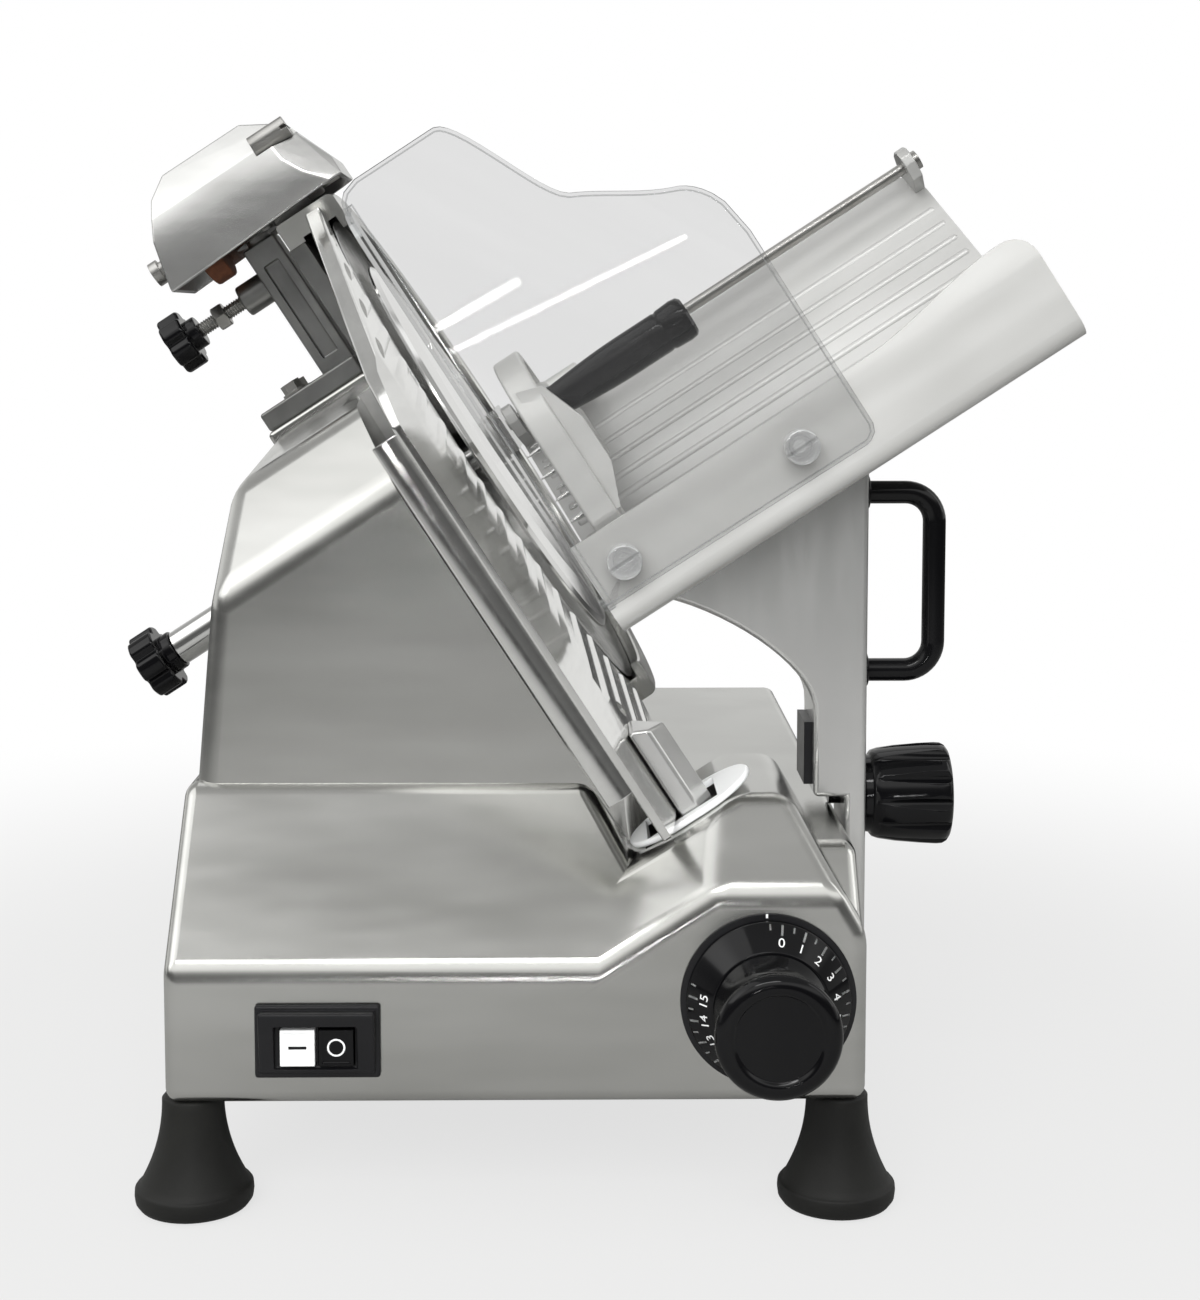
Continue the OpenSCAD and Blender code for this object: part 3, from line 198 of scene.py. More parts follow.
wire(sky,
     (sky_coord.outputs["Generated"], sky_split.inputs["Vector"]),
     (sky_band(sky_split.outputs["Y"], FRONT_TO_BACK), sky_blend.inputs["Factor"]),
     (sky_band(sky_split.outputs["Z"], FRONT_SKY), sky_blend.inputs["A"]),
     (sky_band(sky_split.outputs["Z"], BACK_SKY), sky_blend.inputs["B"]),
     (sky_blend.outputs["Result"], sky_bg.inputs["Color"]),
     (sky_path.outputs["Is Camera Ray"], sky_mix.inputs["Fac"]),
     (sky_bg.outputs["Background"], sky_mix.inputs[1]),
     (sky_plain.outputs["Background"], sky_mix.inputs[2]),
     (sky_mix.outputs["Shader"], sky_out.inputs["Surface"]))
print("sky bands:", len(FRONT_SKY) + len(BACK_SKY))


# %% Soft lights
def soft_light(name, place, target, size, power):
    data = bpy.data.lights.new(name, "AREA")
    data.shape = "RECTANGLE"
    data.size, data.size_y = size
    data.energy = power
    lamp = bpy.data.objects.new(name, data)
    bpy.context.scene.collection.objects.link(lamp)
    lamp.location = place
    lamp.rotation_euler = (Vector(target) - Vector(place)).to_track_quat("-Z", "Y").to_euler()
    return lamp


TUBE_Y = -3.174
LIGHTS = [
    ("ceiling_light", (0.2, 1.1, 2.2), (0, 0, 0.2), (1.8, 1.0), 4),
    ("left_light", (-1.5, -0.35, 1.75), (0, 0, 0.25), (1.9, 1.8), 10),
    ("right_light", (1.9, 0.2, 1.2), (0, 0, 0.25), (0.5, 1.4), 3),
    ("back_light", (0.3, 2.2, 1.6), (0, 0, 0.3), (2.0, 1.2), 2.5),
    ("wash_light", (-0.4, -2.3, 1.3), (0, 0, 0.2), (2.2, 1.6), 68),
    ("strip_light", (-0.3, -1.8, 2.1), (0, 0, 0.25), (1.3, 0.2), 9),
    ("short_tube", (-0.186, TUBE_Y, 0.405), (-0.186, 0, 0.405), (0.21, 0.015), 0.66),
    ("long_tube", (-0.005, TUBE_Y, 0.431), (-0.005, 0, 0.431), (0.50, 0.009), 0.92),
]
lamps = {row[0]: soft_light(*row) for row in LIGHTS}
lamps["wash_light"].visible_glossy = False
for name, turn in (("short_tube", 30), ("long_tube", 26)):
    lamps[name].rotation_euler.rotate_axis("Z", math.radians(turn))
bpy.context.scene.view_settings.view_transform = "Standard"
print("lights:", len(lamps))

# %% [markdown]
# ## Finishes
# The body is satin polished aluminium: it isn't flat grey, but carries faint clouds from the polishing
# wheel and fine lines along the stroke. The plastics have a moulded grain and dull finger marks. Both
# effects are node groups, so each material only chooses its own scale and strength.


# %% Shared node groups
def noise_pair(name, marks):
    group = bpy.data.node_groups.new(name, "ShaderNodeTree")
    group.interface.new_socket(name="Vector", in_out="INPUT", socket_type="NodeSocketVector")
    for label in marks:
        group.interface.new_socket(name=label + " Scale", in_out="INPUT", socket_type="NodeSocketFloat")
        group.interface.new_socket(name=label, in_out="OUTPUT", socket_type="NodeSocketFloat")
    start = group.nodes.new("NodeGroupInput")
    end = group.nodes.new("NodeGroupOutput")
    for label, values in marks.items():
        noise = add_node(group, "TexNoise", values)
        wire(group,
             (start.outputs["Vector"], noise.inputs["Vector"]),
             (start.outputs[label + " Scale"], noise.inputs["Scale"]),
             (noise.outputs["Fac"], end.inputs[label]))
    return group


polish_group = noise_pair("polish_marks", {"Cloud": {"Detail": 3, "Roughness": 0.55},
                                           "Line": {"Detail": 1.5, "Roughness": 0.5}})
mould_group = noise_pair("moulded_grain", {"Grain": {"Detail": 2},
                                           "Smudge": {"Detail": 5, "Distortion": 0.6}})
print("groups:", polish_group.name, mould_group.name)

# %% Material builder
LINE_DEPTH, GRAIN_DEPTH, PLASTIC_EDGE = 0.0004, 0.0003, 0.0005


def spread(tree, source, low, high):
    node = add_node(tree, "MapRange", {"From Min": 0.3, "From Max": 0.7, "To Min": low, "To Max": high})
    wire(tree, (source, node.inputs["Value"]))
    return node.outputs["Result"]


def two_tones(tree, source, dark, light):
    ramp = add_node(tree, "ValToRGB")
    for stop, place, tone in zip(ramp.color_ramp.elements, (0.32, 0.68), (dark, light)):
        stop.position = place
        stop.color = (*tone, 1)
    wire(tree, (source, ramp.inputs["Fac"]))
    return ramp.outputs["Color"]


def start_material(name, group, scales, turn=(0, 0, 0), stretch=(1, 1, 1)):
    mat = bpy.data.materials.new(name)
    mat.use_nodes = True
    tree = mat.node_tree
    coord = add_node(tree, "TexCoord")
    mapping = add_node(tree, "Mapping", {"Rotation": turn, "Scale": [1 / k for k in stretch]},
                       vector_type="TEXTURE")
    marks = add_node(tree, "Group", scales, node_tree=group)
    wire(tree, (coord.outputs["Object"], mapping.inputs["Vector"]),
         (mapping.outputs["Vector"], marks.inputs["Vector"]))
    return mat, tree, tree.nodes["Principled BSDF"], marks.outputs


def soft_normal(tree, bsdf, height, strength, depth, edge):
    bump = add_node(tree, "Bump", {"Strength": strength, "Distance": depth})
    wire(tree, (height, bump.inputs["Height"]))
    if edge:
        bevel = add_node(tree, "Bevel", {"Radius": edge}, samples=6)
        wire(tree, (bevel.outputs["Normal"], bump.inputs["Normal"]))
    wire(tree, (bump.outputs["Normal"], bsdf.inputs["Normal"]))


def metal(name, dark, light, rough, clouds=9, line=60, turn=(0, 0, 0), stretch=(1, 1, 1), edge=0.0006,
          lines=0.02, metallic=1.0):
    scales = {"Cloud Scale": clouds, "Line Scale": line}
    mat, tree, bsdf, marks = start_material(name, polish_group, scales, turn, stretch)
    bsdf.inputs["Metallic"].default_value = metallic
    half = add_node(tree, "Math", {1: 0.5}, operation="MULTIPLY")
    both = add_node(tree, "Math", {1: 0.5}, operation="MULTIPLY_ADD")
    wire(tree,
         (marks["Line"], half.inputs[0]),
         (marks["Cloud"], both.inputs[0]),
         (half.outputs["Value"], both.inputs[2]),
         (two_tones(tree, marks["Cloud"], dark, light), bsdf.inputs["Base Color"]),
         (spread(tree, both.outputs["Value"], *rough), bsdf.inputs["Roughness"]))
    if lines:
        soft_normal(tree, bsdf, marks["Line"], lines, LINE_DEPTH, edge)
    return mat


def plastic(name, dark, light, rough, grain=900, smudge=14, grain_height=0.04, shine=0.5):
    scales = {"Grain Scale": grain, "Smudge Scale": smudge}
    mat, tree, bsdf, marks = start_material(name, mould_group, scales)
    bsdf.inputs["Specular IOR Level"].default_value = shine
    wire(tree,
         (two_tones(tree, marks["Smudge"], dark, light), bsdf.inputs["Base Color"]),
         (spread(tree, marks["Smudge"], *rough), bsdf.inputs["Roughness"]))
    soft_normal(tree, bsdf, marks["Grain"], grain_height, GRAIN_DEPTH, PLASTIC_EDGE)
    return mat


def clear_plastic(name, dark, light, alpha, rim, rough, metallic):
    scales = {"Grain Scale": 60, "Smudge Scale": 2.6}
    mat, tree, bsdf, marks = start_material(name, mould_group, scales, (0, math.radians(28), 0), (1, 1, 9))
    bsdf.inputs["Metallic"].default_value = metallic
    facing = add_node(tree, "LayerWeight", {"Blend": 0.5})
    graze = add_node(tree, "MapRange", {"From Min": 0.55, "To Max": rim})
    both = add_node(tree, "Math", operation="ADD", use_clamp=True)
    wire(tree,
         (two_tones(tree, marks["Smudge"], dark, light), bsdf.inputs["Base Color"]),
         (spread(tree, marks["Smudge"], *rough), bsdf.inputs["Roughness"]),
         (facing.outputs["Facing"], graze.inputs["Value"]),
         (spread(tree, marks["Smudge"], *alpha), both.inputs[0]),
         (graze.outputs["Result"], both.inputs[1]),
         (both.outputs["Value"], bsdf.inputs["Alpha"]))
    return mat


print("material builders ready")

# %% [markdown]
# Each finish is a dark tone, a light tone and a range of roughness. Fine lines as relief are only for the
# rough and turned metals: on the satin castings they would only sparkle.

# %% Metals
finish = {
    "cast": metal("satin_cast", (0.50, 0.50, 0.48), (0.68, 0.68, 0.66), (0.17, 0.26), clouds=4, line=26,
                  stretch=(1, 1, 5), lines=0),
    # Darker rough finish: the as-cast brackets, and painted shade on the boss behind the blade.
    "rough_cast_and_shade": metal("bracket_cast", (0.24, 0.24, 0.235), (0.38, 0.38, 0.37), (0.34, 0.50),
                        clouds=26, line=260, edge=0, lines=0.06),
    "gauge_face": metal("polished_face", (0.80, 0.80, 0.785), (0.90, 0.90, 0.885), (0.07, 0.16),
                        clouds=9, line=70, turn=(0, -TILT, 0), stretch=(8, 1, 8), lines=0),
    "arm_cast": metal("smooth_cast", (0.62, 0.62, 0.61), (0.74, 0.74, 0.73), (0.17, 0.26), clouds=6, line=40,
                      stretch=(5, 1, 1), lines=0, metallic=0.8),
    "cover_cast": metal("cover_cast", (0.52, 0.52, 0.51), (0.66, 0.66, 0.65), (0.18, 0.26),
                        stretch=(1, 1, 4), lines=0, metallic=0.85),
    "polished": metal("polished_tube", (0.74, 0.74, 0.73), (0.82, 0.82, 0.81), (0.08, 0.16),
                      clouds=14, line=90),
    "steel": metal("turned_steel", (0.36, 0.355, 0.34), (0.50, 0.495, 0.48), (0.28, 0.40),
                   clouds=40, line=300, edge=0.0004),
    "blade_steel": metal("ground_blade", (0.62, 0.62, 0.62), (0.74, 0.74, 0.74), (0.12, 0.22),
                         clouds=10, line=80),
    "bronze": metal("turned_bronze", (0.50, 0.34, 0.16), (0.62, 0.44, 0.22), (0.28, 0.38),
                    clouds=40, line=300),
}
SHEET = {"clouds": 4, "line": 30, "turn": (0, -TILT, 0), "stretch": (1, 6, 6), "lines": 0, "metallic": 0.34}
finish["sheet"] = metal("brushed_sheet", (0.50, 0.50, 0.485), (0.70, 0.70, 0.685), (0.29, 0.40), **SHEET)
# Darker copy of the sheet finish: painted shade for the tray's back wall, which catches more light.
finish["painted_shade_sheet"] = metal("painted_shade_sheet", (0.37, 0.37, 0.36), (0.53, 0.53, 0.52), (0.29, 0.40), **SHEET)
print("metals:", len(finish))

# %% Plastics and stones
STONE = {"grain": 420, "smudge": 220, "grain_height": 0.6}
finish.update({
    "black": plastic("matt_black", (0.007, 0.007, 0.008), (0.013, 0.013, 0.014), (0.30, 0.46), shine=0.3),
    "gloss_black": plastic("gloss_black", (0.0015, 0.0015, 0.002), (0.0035, 0.0035, 0.004), (0.06, 0.14),
                           grain_height=0.01, shine=0.3),
    "grip_black": plastic("satin_black", (0.007, 0.007, 0.007), (0.014, 0.014, 0.014), (0.28, 0.38),
                          grain_height=0.05, shine=0.3),
    "white": plastic("white_plastic", (0.84, 0.85, 0.85), (0.90, 0.91, 0.91), (0.22, 0.36),
                     grain_height=0.02),
    "foot": plastic("foot_rubber", (0.005, 0.005, 0.005), (0.011, 0.011, 0.010), (0.42, 0.60), grain=500,
                    grain_height=0.10, shine=0.3),
    "belt": plastic("belt_rubber", (0.014, 0.014, 0.014), (0.026, 0.026, 0.026), (0.5, 0.7), grain=500,
                    grain_height=0.2),
    "motor_paint": plastic("motor_paint", (0.06, 0.06, 0.065), (0.09, 0.09, 0.10), (0.3, 0.45)),
    "pale_stone": plastic("pale_stone", (0.26, 0.25, 0.24), (0.40, 0.39, 0.37), (0.75, 0.9), **STONE),
    "stone": plastic("bonded_stone", (0.13, 0.045, 0.022), (0.22, 0.085, 0.042), (0.75, 0.9), **STONE),
    "clear": clear_plastic("clear_acrylic", (0.05, 0.05, 0.05), (0.09, 0.09, 0.09), (0.13, 0.17), 0.5,
                           (0.0, 0.02), 0.0),
    # Lighter, more opaque acrylic for the guard's rim: painted edge shine.
    "clear_edge_shine": clear_plastic("acrylic_edge_shine", (0.30, 0.31, 0.31), (0.44, 0.45, 0.45), (0.56, 0.70), 0.4,
                                (0.05, 0.12), 0.6),
    "clear_solid": clear_plastic("acrylic_solid", (0.72, 0.73, 0.73), (0.84, 0.85, 0.85), (0.42, 0.54), 0.5,
                                 (0.04, 0.10), 0.6),
})
print("finishes:", len(finish))

# %% Dress the nodes
slot_of = {s["node"]: s["material_slot"] for s in frame["record"]["subparts"]}
rough_nodes = {"sharp_bracket", "gauge_bracket", "rod_supports", "motor_mount", "pusher_arm"}
for name, obj in nodes.items():
    chosen = finish["rough_cast_and_shade"] if name in rough_nodes else finish[slot_of[name]]
    obj.data.materials.clear()
    obj.data.materials.append(chosen)
print("dressed", len(nodes), "nodes")

# %% [markdown]
# ## Hand tools
# Pieces are drawn as by hand: a line is started from one point and extruded from corner to corner, filled,
# and pulled to its thickness, or spun about an axis. Flat cast solids start as a block and are cut by
# planes. Each helper leaves one object selected.


# %% Drawing helpers
MERGE = 0.00001


def clear_selection():
    if bpy.context.object and bpy.context.object.mode != "OBJECT":
        bpy.ops.object.mode_set(mode="OBJECT")
    bpy.ops.object.select_all(action="DESELECT")


def keep_only(piece):
    clear_selection()
    piece.select_set(True)
    bpy.context.view_layer.objects.active = piece


def start_line(name, points):
    clear_selection()
    bpy.ops.mesh.primitive_plane_add(size=0.002, location=(0, 0, 0))
    piece = bpy.context.object
    piece.name = name
    piece.data.name = name
    bpy.ops.object.mode_set(mode="EDIT")
    bpy.ops.mesh.merge(type="CENTER")
    bpy.ops.transform.translate(value=[c * MM for c in points[0]])
    for a, b in zip(points, points[1:]):
        step = [(b[k] - a[k]) * MM for k in range(3)]
        bpy.ops.mesh.extrude_vertices_move(TRANSFORM_OT_translate={"value": step})
    bpy.ops.mesh.select_all(action="SELECT")
    return piece


def draw_prism(name, points, pull):
    piece = start_line(name, points)
    bpy.ops.mesh.edge_face_add()
    bpy.ops.mesh.extrude_region_move(TRANSFORM_OT_translate={"value": [c * MM for c in pull]})
    close_up()
    return piece


def draw_spun(name, points, axis, steps):
    piece = start_line(name, points)
    bpy.ops.mesh.spin(steps=steps, angle=math.radians(360), center=(0, 0, 0), axis=axis)
    close_up()
    return piece


def close_up():
    bpy.ops.mesh.select_all(action="SELECT")
    bpy.ops.mesh.remove_doubles(threshold=MERGE)
    bpy.ops.mesh.normals_make_consistent(inside=False)
    bpy.ops.object.mode_set(mode="OBJECT")


def add_modifier(piece, kind, **values):
    mod = piece.modifiers.new(kind.lower(), kind)
    for key, value in values.items():
        setattr(mod, key, value)
    keep_only(piece)
    bpy.ops.object.modifier_apply(modifier=mod.name)


def round_edges(piece, width, segments=3, angle=25):
    add_modifier(piece, "BEVEL", width=width * MM, segments=segments, limit_method="ANGLE",
                 angle_limit=math.radians(angle), harden_normals=False, use_clamp_overlap=True)
    return piece


def smooth(piece, angle=35, flat_faces=True):
    keep_only(piece)
    bpy.ops.object.shade_smooth_by_angle(angle=math.radians(angle))
    if flat_faces:
        add_modifier(piece, "WEIGHTED_NORMAL", mode="FACE_AREA", weight=50, keep_sharp=True)


def cut_by(piece, tool, operation="DIFFERENCE"):
    add_modifier(piece, "BOOLEAN", object=tool, operation=operation, solver="EXACT")
    bpy.data.objects.remove(tool)


def settle(piece, turn=(0, 0, 0), shift=(0, 0, 0)):
    keep_only(piece)
    piece.rotation_euler = turn
    piece.location = shift
    bpy.ops.object.transform_apply(location=True, rotation=True, scale=True)
    return piece


def move(piece, x, y, z):
    return settle(piece, shift=(x * MM, y * MM, z * MM))


def settle_slant(piece):
    return settle(piece, (0, -TILT, 0), base_point(*slant_mm(0, 0, 0)))


def settle_base(piece):
    return settle(piece, shift=base_point(0, 0, 0))


def join_pieces(name, pieces):
    clear_selection()
    for piece in pieces:
        piece.select_set(True)
    bpy.context.view_layer.objects.active = pieces[0]
    bpy.ops.object.join()
    whole = bpy.context.object
    whole.name = name
    whole.data.name = name
    return whole


print("drawing helpers ready")

# %% [markdown]
# A finished piece is handed to the frame: it gets its look, the body that it rides on, and the node that it
# stands in for. Some pieces have a second look on a few chosen faces.


# %% Handing over
def hand_over(piece, body, slot, look, *replaced):
    piece.data.materials.clear()
    piece.data.materials.append(finish[look])
    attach(piece, body)
    if replaced:
        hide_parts(*replaced)
    print("made", piece.name, len(piece.data.polygons), "faces")


def complete(piece, place, angle, body, slot, look, *replaced):
    place(piece)
    smooth(piece, angle)
    hand_over(piece, body, slot, look, *replaced)


def mark_faces(piece, look, indices):
    piece.data.materials.append(finish[look])
    for index in indices:
        piece.data.polygons[index].material_index = 1
    print(look, "on", len(indices), "faces of", piece.name)


print("hand-over helpers ready")

# %% [markdown]
# ## Cast housing
# The base is one casting: a front panel, a sloped cove that rises to a ridge, a hump over the motor that
# leans with the blade, and a lower block behind the dial. Each is a block cut by planes, as a pattern
# maker would saw it. Every one gets its own rounding, they are joined, and the same shapes, drawn smaller
# by the wall, hollow the casting out.

# %% Cut blocks
WALL = 5.0
Z_PANEL, Z_RIDGE, Z_DECK, Z_BLOCK = Z0 + 59, Z0 + 128, BZ - 161, BZ - 138
XL, XR, DEPTH = -178.0, 126.0, 440.0
COVE_D, HUMP_N, PAD_V = 60.0, -28.0, -182.0


def start_block(name, low, high):
    clear_selection()
    middle = [(a + b) / 2 * MM for a, b in zip(low, high)]
    bpy.ops.mesh.primitive_cube_add(size=1, location=middle)
    block = bpy.context.object
    block.name = name
    block.scale = [(b - a) * MM for a, b in zip(low, high)]
    bpy.ops.object.transform_apply(location=True, rotation=True, scale=True)
    return block


def lean(piece):
    return settle(piece, (0, -TILT, 0), (BX * MM, 0, BZ * MM))


def saw(block, point, normal):
    keep_only(block)
    bpy.ops.object.mode_set(mode="EDIT")
    bpy.ops.mesh.select_all(action="SELECT")
    bpy.ops.mesh.bisect(plane_co=[c * MM for c in point], plane_no=Vector(normal).normalized(),
                        use_fill=True, clear_outer=True)
    bpy.ops.object.mode_set(mode="OBJECT")


def saw_yz(block, a, b):
    saw(block, (0, a[0], a[1]), (0, -(b[1] - a[1]), b[0] - a[0]))


def saw_xz(block, a, b):
    saw(block, (a[0], 0, a[1]), (-(b[1] - a[1]), 0, b[0] - a[0]))


def saw_slant(block, a, b):
    saw(block, slant_mm(0, a[0], a[1]), slant_axis(0, -(b[1] - a[1]), b[0] - a[0]))


# o is how far a block is drawn inside the casting's surface: 0 for the outside, the wall for the core
def base_block(o):
    block = start_block("base_block", (XL + o, o, Z0 - o), (XR - o, DEPTH - o, Z_RIDGE - o))
    saw_yz(block, (o, Z_PANEL - 0.4 * o), (COVE_D + 0.4 * o, Z_RIDGE - o))
    saw_yz(block, (DEPTH - 22, Z_RIDGE - o), (DEPTH - o, Z_RIDGE - 22 - o))
    cut_by(block, start_block("deck_room", (XR - 104 - o, -20, Z_DECK - o), (XR + 20, DEPTH + 20, 300)))
    cut_by(block, lean(start_block("gauge_room", (HUMP_N - 0.5 - o, -20, PAD_V - o), (500, 470, 600))))
    return block


def hump_block(o):
    spare = 0 if o else 24
    sole = Z_DECK + 6 if o else Z_DECK - 8
    block = start_block("hump_block", (XL - 40, COVE_D + 2 + o, sole), (XR, 400 - o, 420))
    saw(block, slant_mm(HUMP_N - o + spare, 0, 0), slant_axis(1, 0, 0))
    saw_slant(block, (COVE_D + 2 + o, 17 - o), (110 + o / 2, 55 - o))
    saw_slant(block, (110 + o / 2, 55 - o), (366, 76 - o))
    saw_slant(block, (366, 76 - o), (400 - o, 42 - o))
    draft = math.radians(5)
    saw(block, (XL + 3 + o, COVE_D, Z_DECK), (-math.cos(draft), -0.026, math.sin(draft)))
    return block


def dial_block(o):
    proud = 0 if o else 0.2
    block = start_block("dial_block", (XL + 150, o - proud, Z0 + 4), (XR + proud - o, 130 - o, Z_BLOCK - o))
    saw_slant(block, (o, PAD_V - 23 - 1.3 * o), (30 + o / 2, PAD_V - o))
    saw_slant(block, (30 + o / 2, PAD_V - o), (130, PAD_V - o))
    saw_yz(block, (o, Z_PANEL + 34 - o), (34 + o / 2, Z_BLOCK - o))
    saw_xz(block, (XR - 31 - o, Z_BLOCK - o), (XR - 1 - o, Z_PANEL + 18))
    return block


print("cut blocks ready")


# %% Join the casting
def joined_blocks(name, o, rounding):
    parts = [base_block(o), hump_block(o), dial_block(o)]
    if rounding:
        for part, width in zip(parts, rounding):
            round_edges(part, width, 5)
    whole, hump, dial = parts
    saw(hump, slant_mm(HUMP_N - o, 0, 0), slant_axis(1, 0, 0))
    whole.name = name
    cut_by(whole, hump, "UNION")
    cut_by(whole, dial, "UNION")
    return whole


def bar(name, start, axis, diameter, length, sides=64):
    clear_selection()
    middle = [(s + a * length / 2) * MM for s, a in zip(start, axis)]
    turn = Vector(axis).to_track_quat("Z", "Y").to_euler()
    bpy.ops.mesh.primitive_cylinder_add(vertices=sides, radius=diameter / 2 * MM, depth=length * MM,
                                        location=middle, rotation=turn)
    tool = bpy.context.object
    tool.name = name
    bpy.ops.object.transform_apply(location=True, rotation=True, scale=True)
    return tool


FEED = slant_axis(1, 0, 0)
RISE = slant_axis(0, 0, 1)
POST_SN = HUMP_N - 14
BOLT_N, BOLT_SIDE, BOSS_D = POST_SN - 28, 12, 300
housing = joined_blocks("cast_housing", 0, (7, 10, 7.4))
boss = bar("boss", slant_mm(HUMP_N - 2, BY, 0), FEED, BOSS_D, 10, 160)
cut_by(housing, round_edges(boss, 1.2, 2), "UNION")
cut_by(housing, lean(start_block("near_room", (HUMP_N - 12, -20, 60), (HUMP_N + 20, BY - 14, 200))))
pad = lean(start_block("pad", (POST_SN - 52, BY - 26, 50), (POST_SN + 12, BY + 26, 72)))
cut_by(housing, round_edges(pad, 2.5), "UNION")
cut_by(housing, joined_blocks("core", WALL, None))
print("hollow casting:", len(housing.data.polygons), "faces")

# %% Cut the openings
SWITCH_X, SWITCH_Z, DIAL_X, DIAL_Z = -111.0, Z0 + 29, 83.0, Z0 + 46
cut_by(housing, start_block("switch_hole", (SWITCH_X - 23, -2, SWITCH_Z - 12),
                            (SWITCH_X + 23, 9, SWITCH_Z + 12)))
cut_by(housing, bar("dial_hole", (DIAL_X, -2, DIAL_Z), ALONG_Y, 22, 10))
cut_by(housing, bar("hub_hole", slant_mm(HUMP_N - 8, BY, 0), FEED, 72, 24))
cut_by(housing, bar("tube_hole", slant_mm(-220, BY, 0), FEED, 20, 110))
cut_by(housing, lean(start_block("post_slot", (-21, 40, PAD_V - 8), (22, 80, PAD_V + 4))))
cut_by(housing, bar("gland_hole", (XL - 3, 150, Z0 + 92), ALONG_X, 10, 12))
cut_by(housing, start_block("carriage_slot", (XR - 8, 92, Z0 + 26), (XR + 3, 398, Z0 + 48)))
for side in (-BOLT_SIDE, BOLT_SIDE):
    cut_by(housing, bar("bolt_hole", slant_mm(BOLT_N, BY + side, 46), RISE, 6, 40, 32))


def on_boss(spot):
    arm = spot / MM - Vector((BX, BY, BZ))
    n, v = arm.dot(Vector(FEED)), arm.dot(Vector(RISE))
    return HUMP_N + 0.4 < n < 0 and math.hypot(arm.y, v) < BOSS_D / 2 + 1


# The boss behind the blade gets the darker rough finish: partly a rough cast face, partly painted shade.
boss_shade_faces = [face.index for face in housing.data.polygons if on_boss(face.center)]
complete(housing, settle_base, 30, "frame", "cast", "cast", "base_housing")
mark_faces(housing, "rough_cast_and_shade", boss_shade_faces)

# %% [markdown]
# ## Feet
# Four bell feet carry the machine: a narrow neck, a concave flare and a stepped rim. Each is turned from
# one profile, so a spin about its own bolt is the natural way to make it.


# %% Feet
def bell_profile():
    points = [(3.05, 0, 0), (21, 0, 0), (24, 0, 0.8), (25.6, 0, 3), (26, 0, 6), (25.8, 0, 8.6),
              (25, 0, 9.6), (24, 0, 10)]
    for k in range(1, 15):
        t = k / 14
        points.append((13.5 + 10.5 * (1 - t) ** 2.1, 0, 10 + (Z0 - 11.5) * t))
    points += [(12.6, 0, Z0 - 0.4), (11.4, 0, Z0), (3.05, 0, Z0), (3.05, 0, 0)]
    return points


feet = []
for x in (XL + 10, XR - 11):
    for y in (16, DEPTH - 32):
        foot = draw_spun("bell_foot", bell_profile(), ALONG_Z, 48)
        feet.append(move(foot, x, y, 0))
complete(join_pieces("bell_feet", feet), settle_base, 40, "frame", "foot", "foot", "feet")

# %% [markdown]
# ## Switch
# The push buttons sit in a moulded bezel with a hood above them, so that a drip runs past. The hood is a
# wedge sawn from a block; the pocket is cut out of it, and the two buttons have dished, rounded caps.

# %% Bezel
BUTTON_SIDE = 8.3
bezel = start_block("switch_hood", (SWITCH_X - 27, -3, SWITCH_Z - 16), (SWITCH_X + 27, 0, SWITCH_Z + 16))
round_edges(bezel, 1.4, 3)
hood = start_block("hood", (SWITCH_X - 25, -8, SWITCH_Z - 13.6), (SWITCH_X + 25, -1, SWITCH_Z + 14))
saw_yz(hood, (-4.2, SWITCH_Z - 13.6), (-8, SWITCH_Z + 11.5))
cut_by(bezel, round_edges(hood, 1.2), "UNION")
pocket = start_block("pocket", (SWITCH_X - 18.4, -12, SWITCH_Z - 11.6),
                     (SWITCH_X + 17.6, -2.2, SWITCH_Z + 8.2))
cut_by(bezel, round_edges(pocket, 1.0))
notch = start_block("notch", (SWITCH_X - 30, -12, SWITCH_Z - 17), (SWITCH_X - 8, -5.2, SWITCH_Z - 10.5))
cut_by(bezel, notch)
collar = start_block("collar", (SWITCH_X - 22.6, -1, SWITCH_Z - 11.6),
                     (SWITCH_X + 22.6, 7, SWITCH_Z + 11.6))
cut_by(bezel, collar, "UNION")
for side in (-BUTTON_SIDE, BUTTON_SIDE):
    x = SWITCH_X + side
    well = start_block("well", (x - 7.9, -20, SWITCH_Z - 10.4), (x + 7.9, 12, SWITCH_Z + 6.4))
    cut_by(bezel, well)
complete(bezel, settle_base, 30, "frame", "black", "black", "switch_bezel")


# %% Buttons
def push_cap(name, side, front):
    x = SWITCH_X + side
    cap = start_block(name, (x - 7.5, front, SWITCH_Z - 10), (x + 7.5, 9, SWITCH_Z + 6))
    keep_only(cap)
    bpy.ops.object.mode_set(mode="EDIT")
    bpy.ops.mesh.select_mode(type="FACE")
    bpy.ops.mesh.select_all(action="DESELECT")
    bpy.ops.object.mode_set(mode="OBJECT")
    for face in cap.data.polygons:
        face.select = face.normal.y < -0.9
    bpy.ops.object.mode_set(mode="EDIT")
    bpy.ops.mesh.inset(thickness=1.3 * MM, depth=0)
    bpy.ops.mesh.inset(thickness=0.6 * MM, depth=-0.5 * MM)
    bpy.ops.mesh.select_mode(type="VERT")
    bpy.ops.object.mode_set(mode="OBJECT")
    return round_edges(cap, 0.5, 2, 20)


def flat_bar(name, x0, x1, y, z0, z1, thick):
    return draw_prism(name, [(x0, y, z0), (x1, y, z0), (x1, y, z1), (x0, y, z1)], (0, thick, 0))


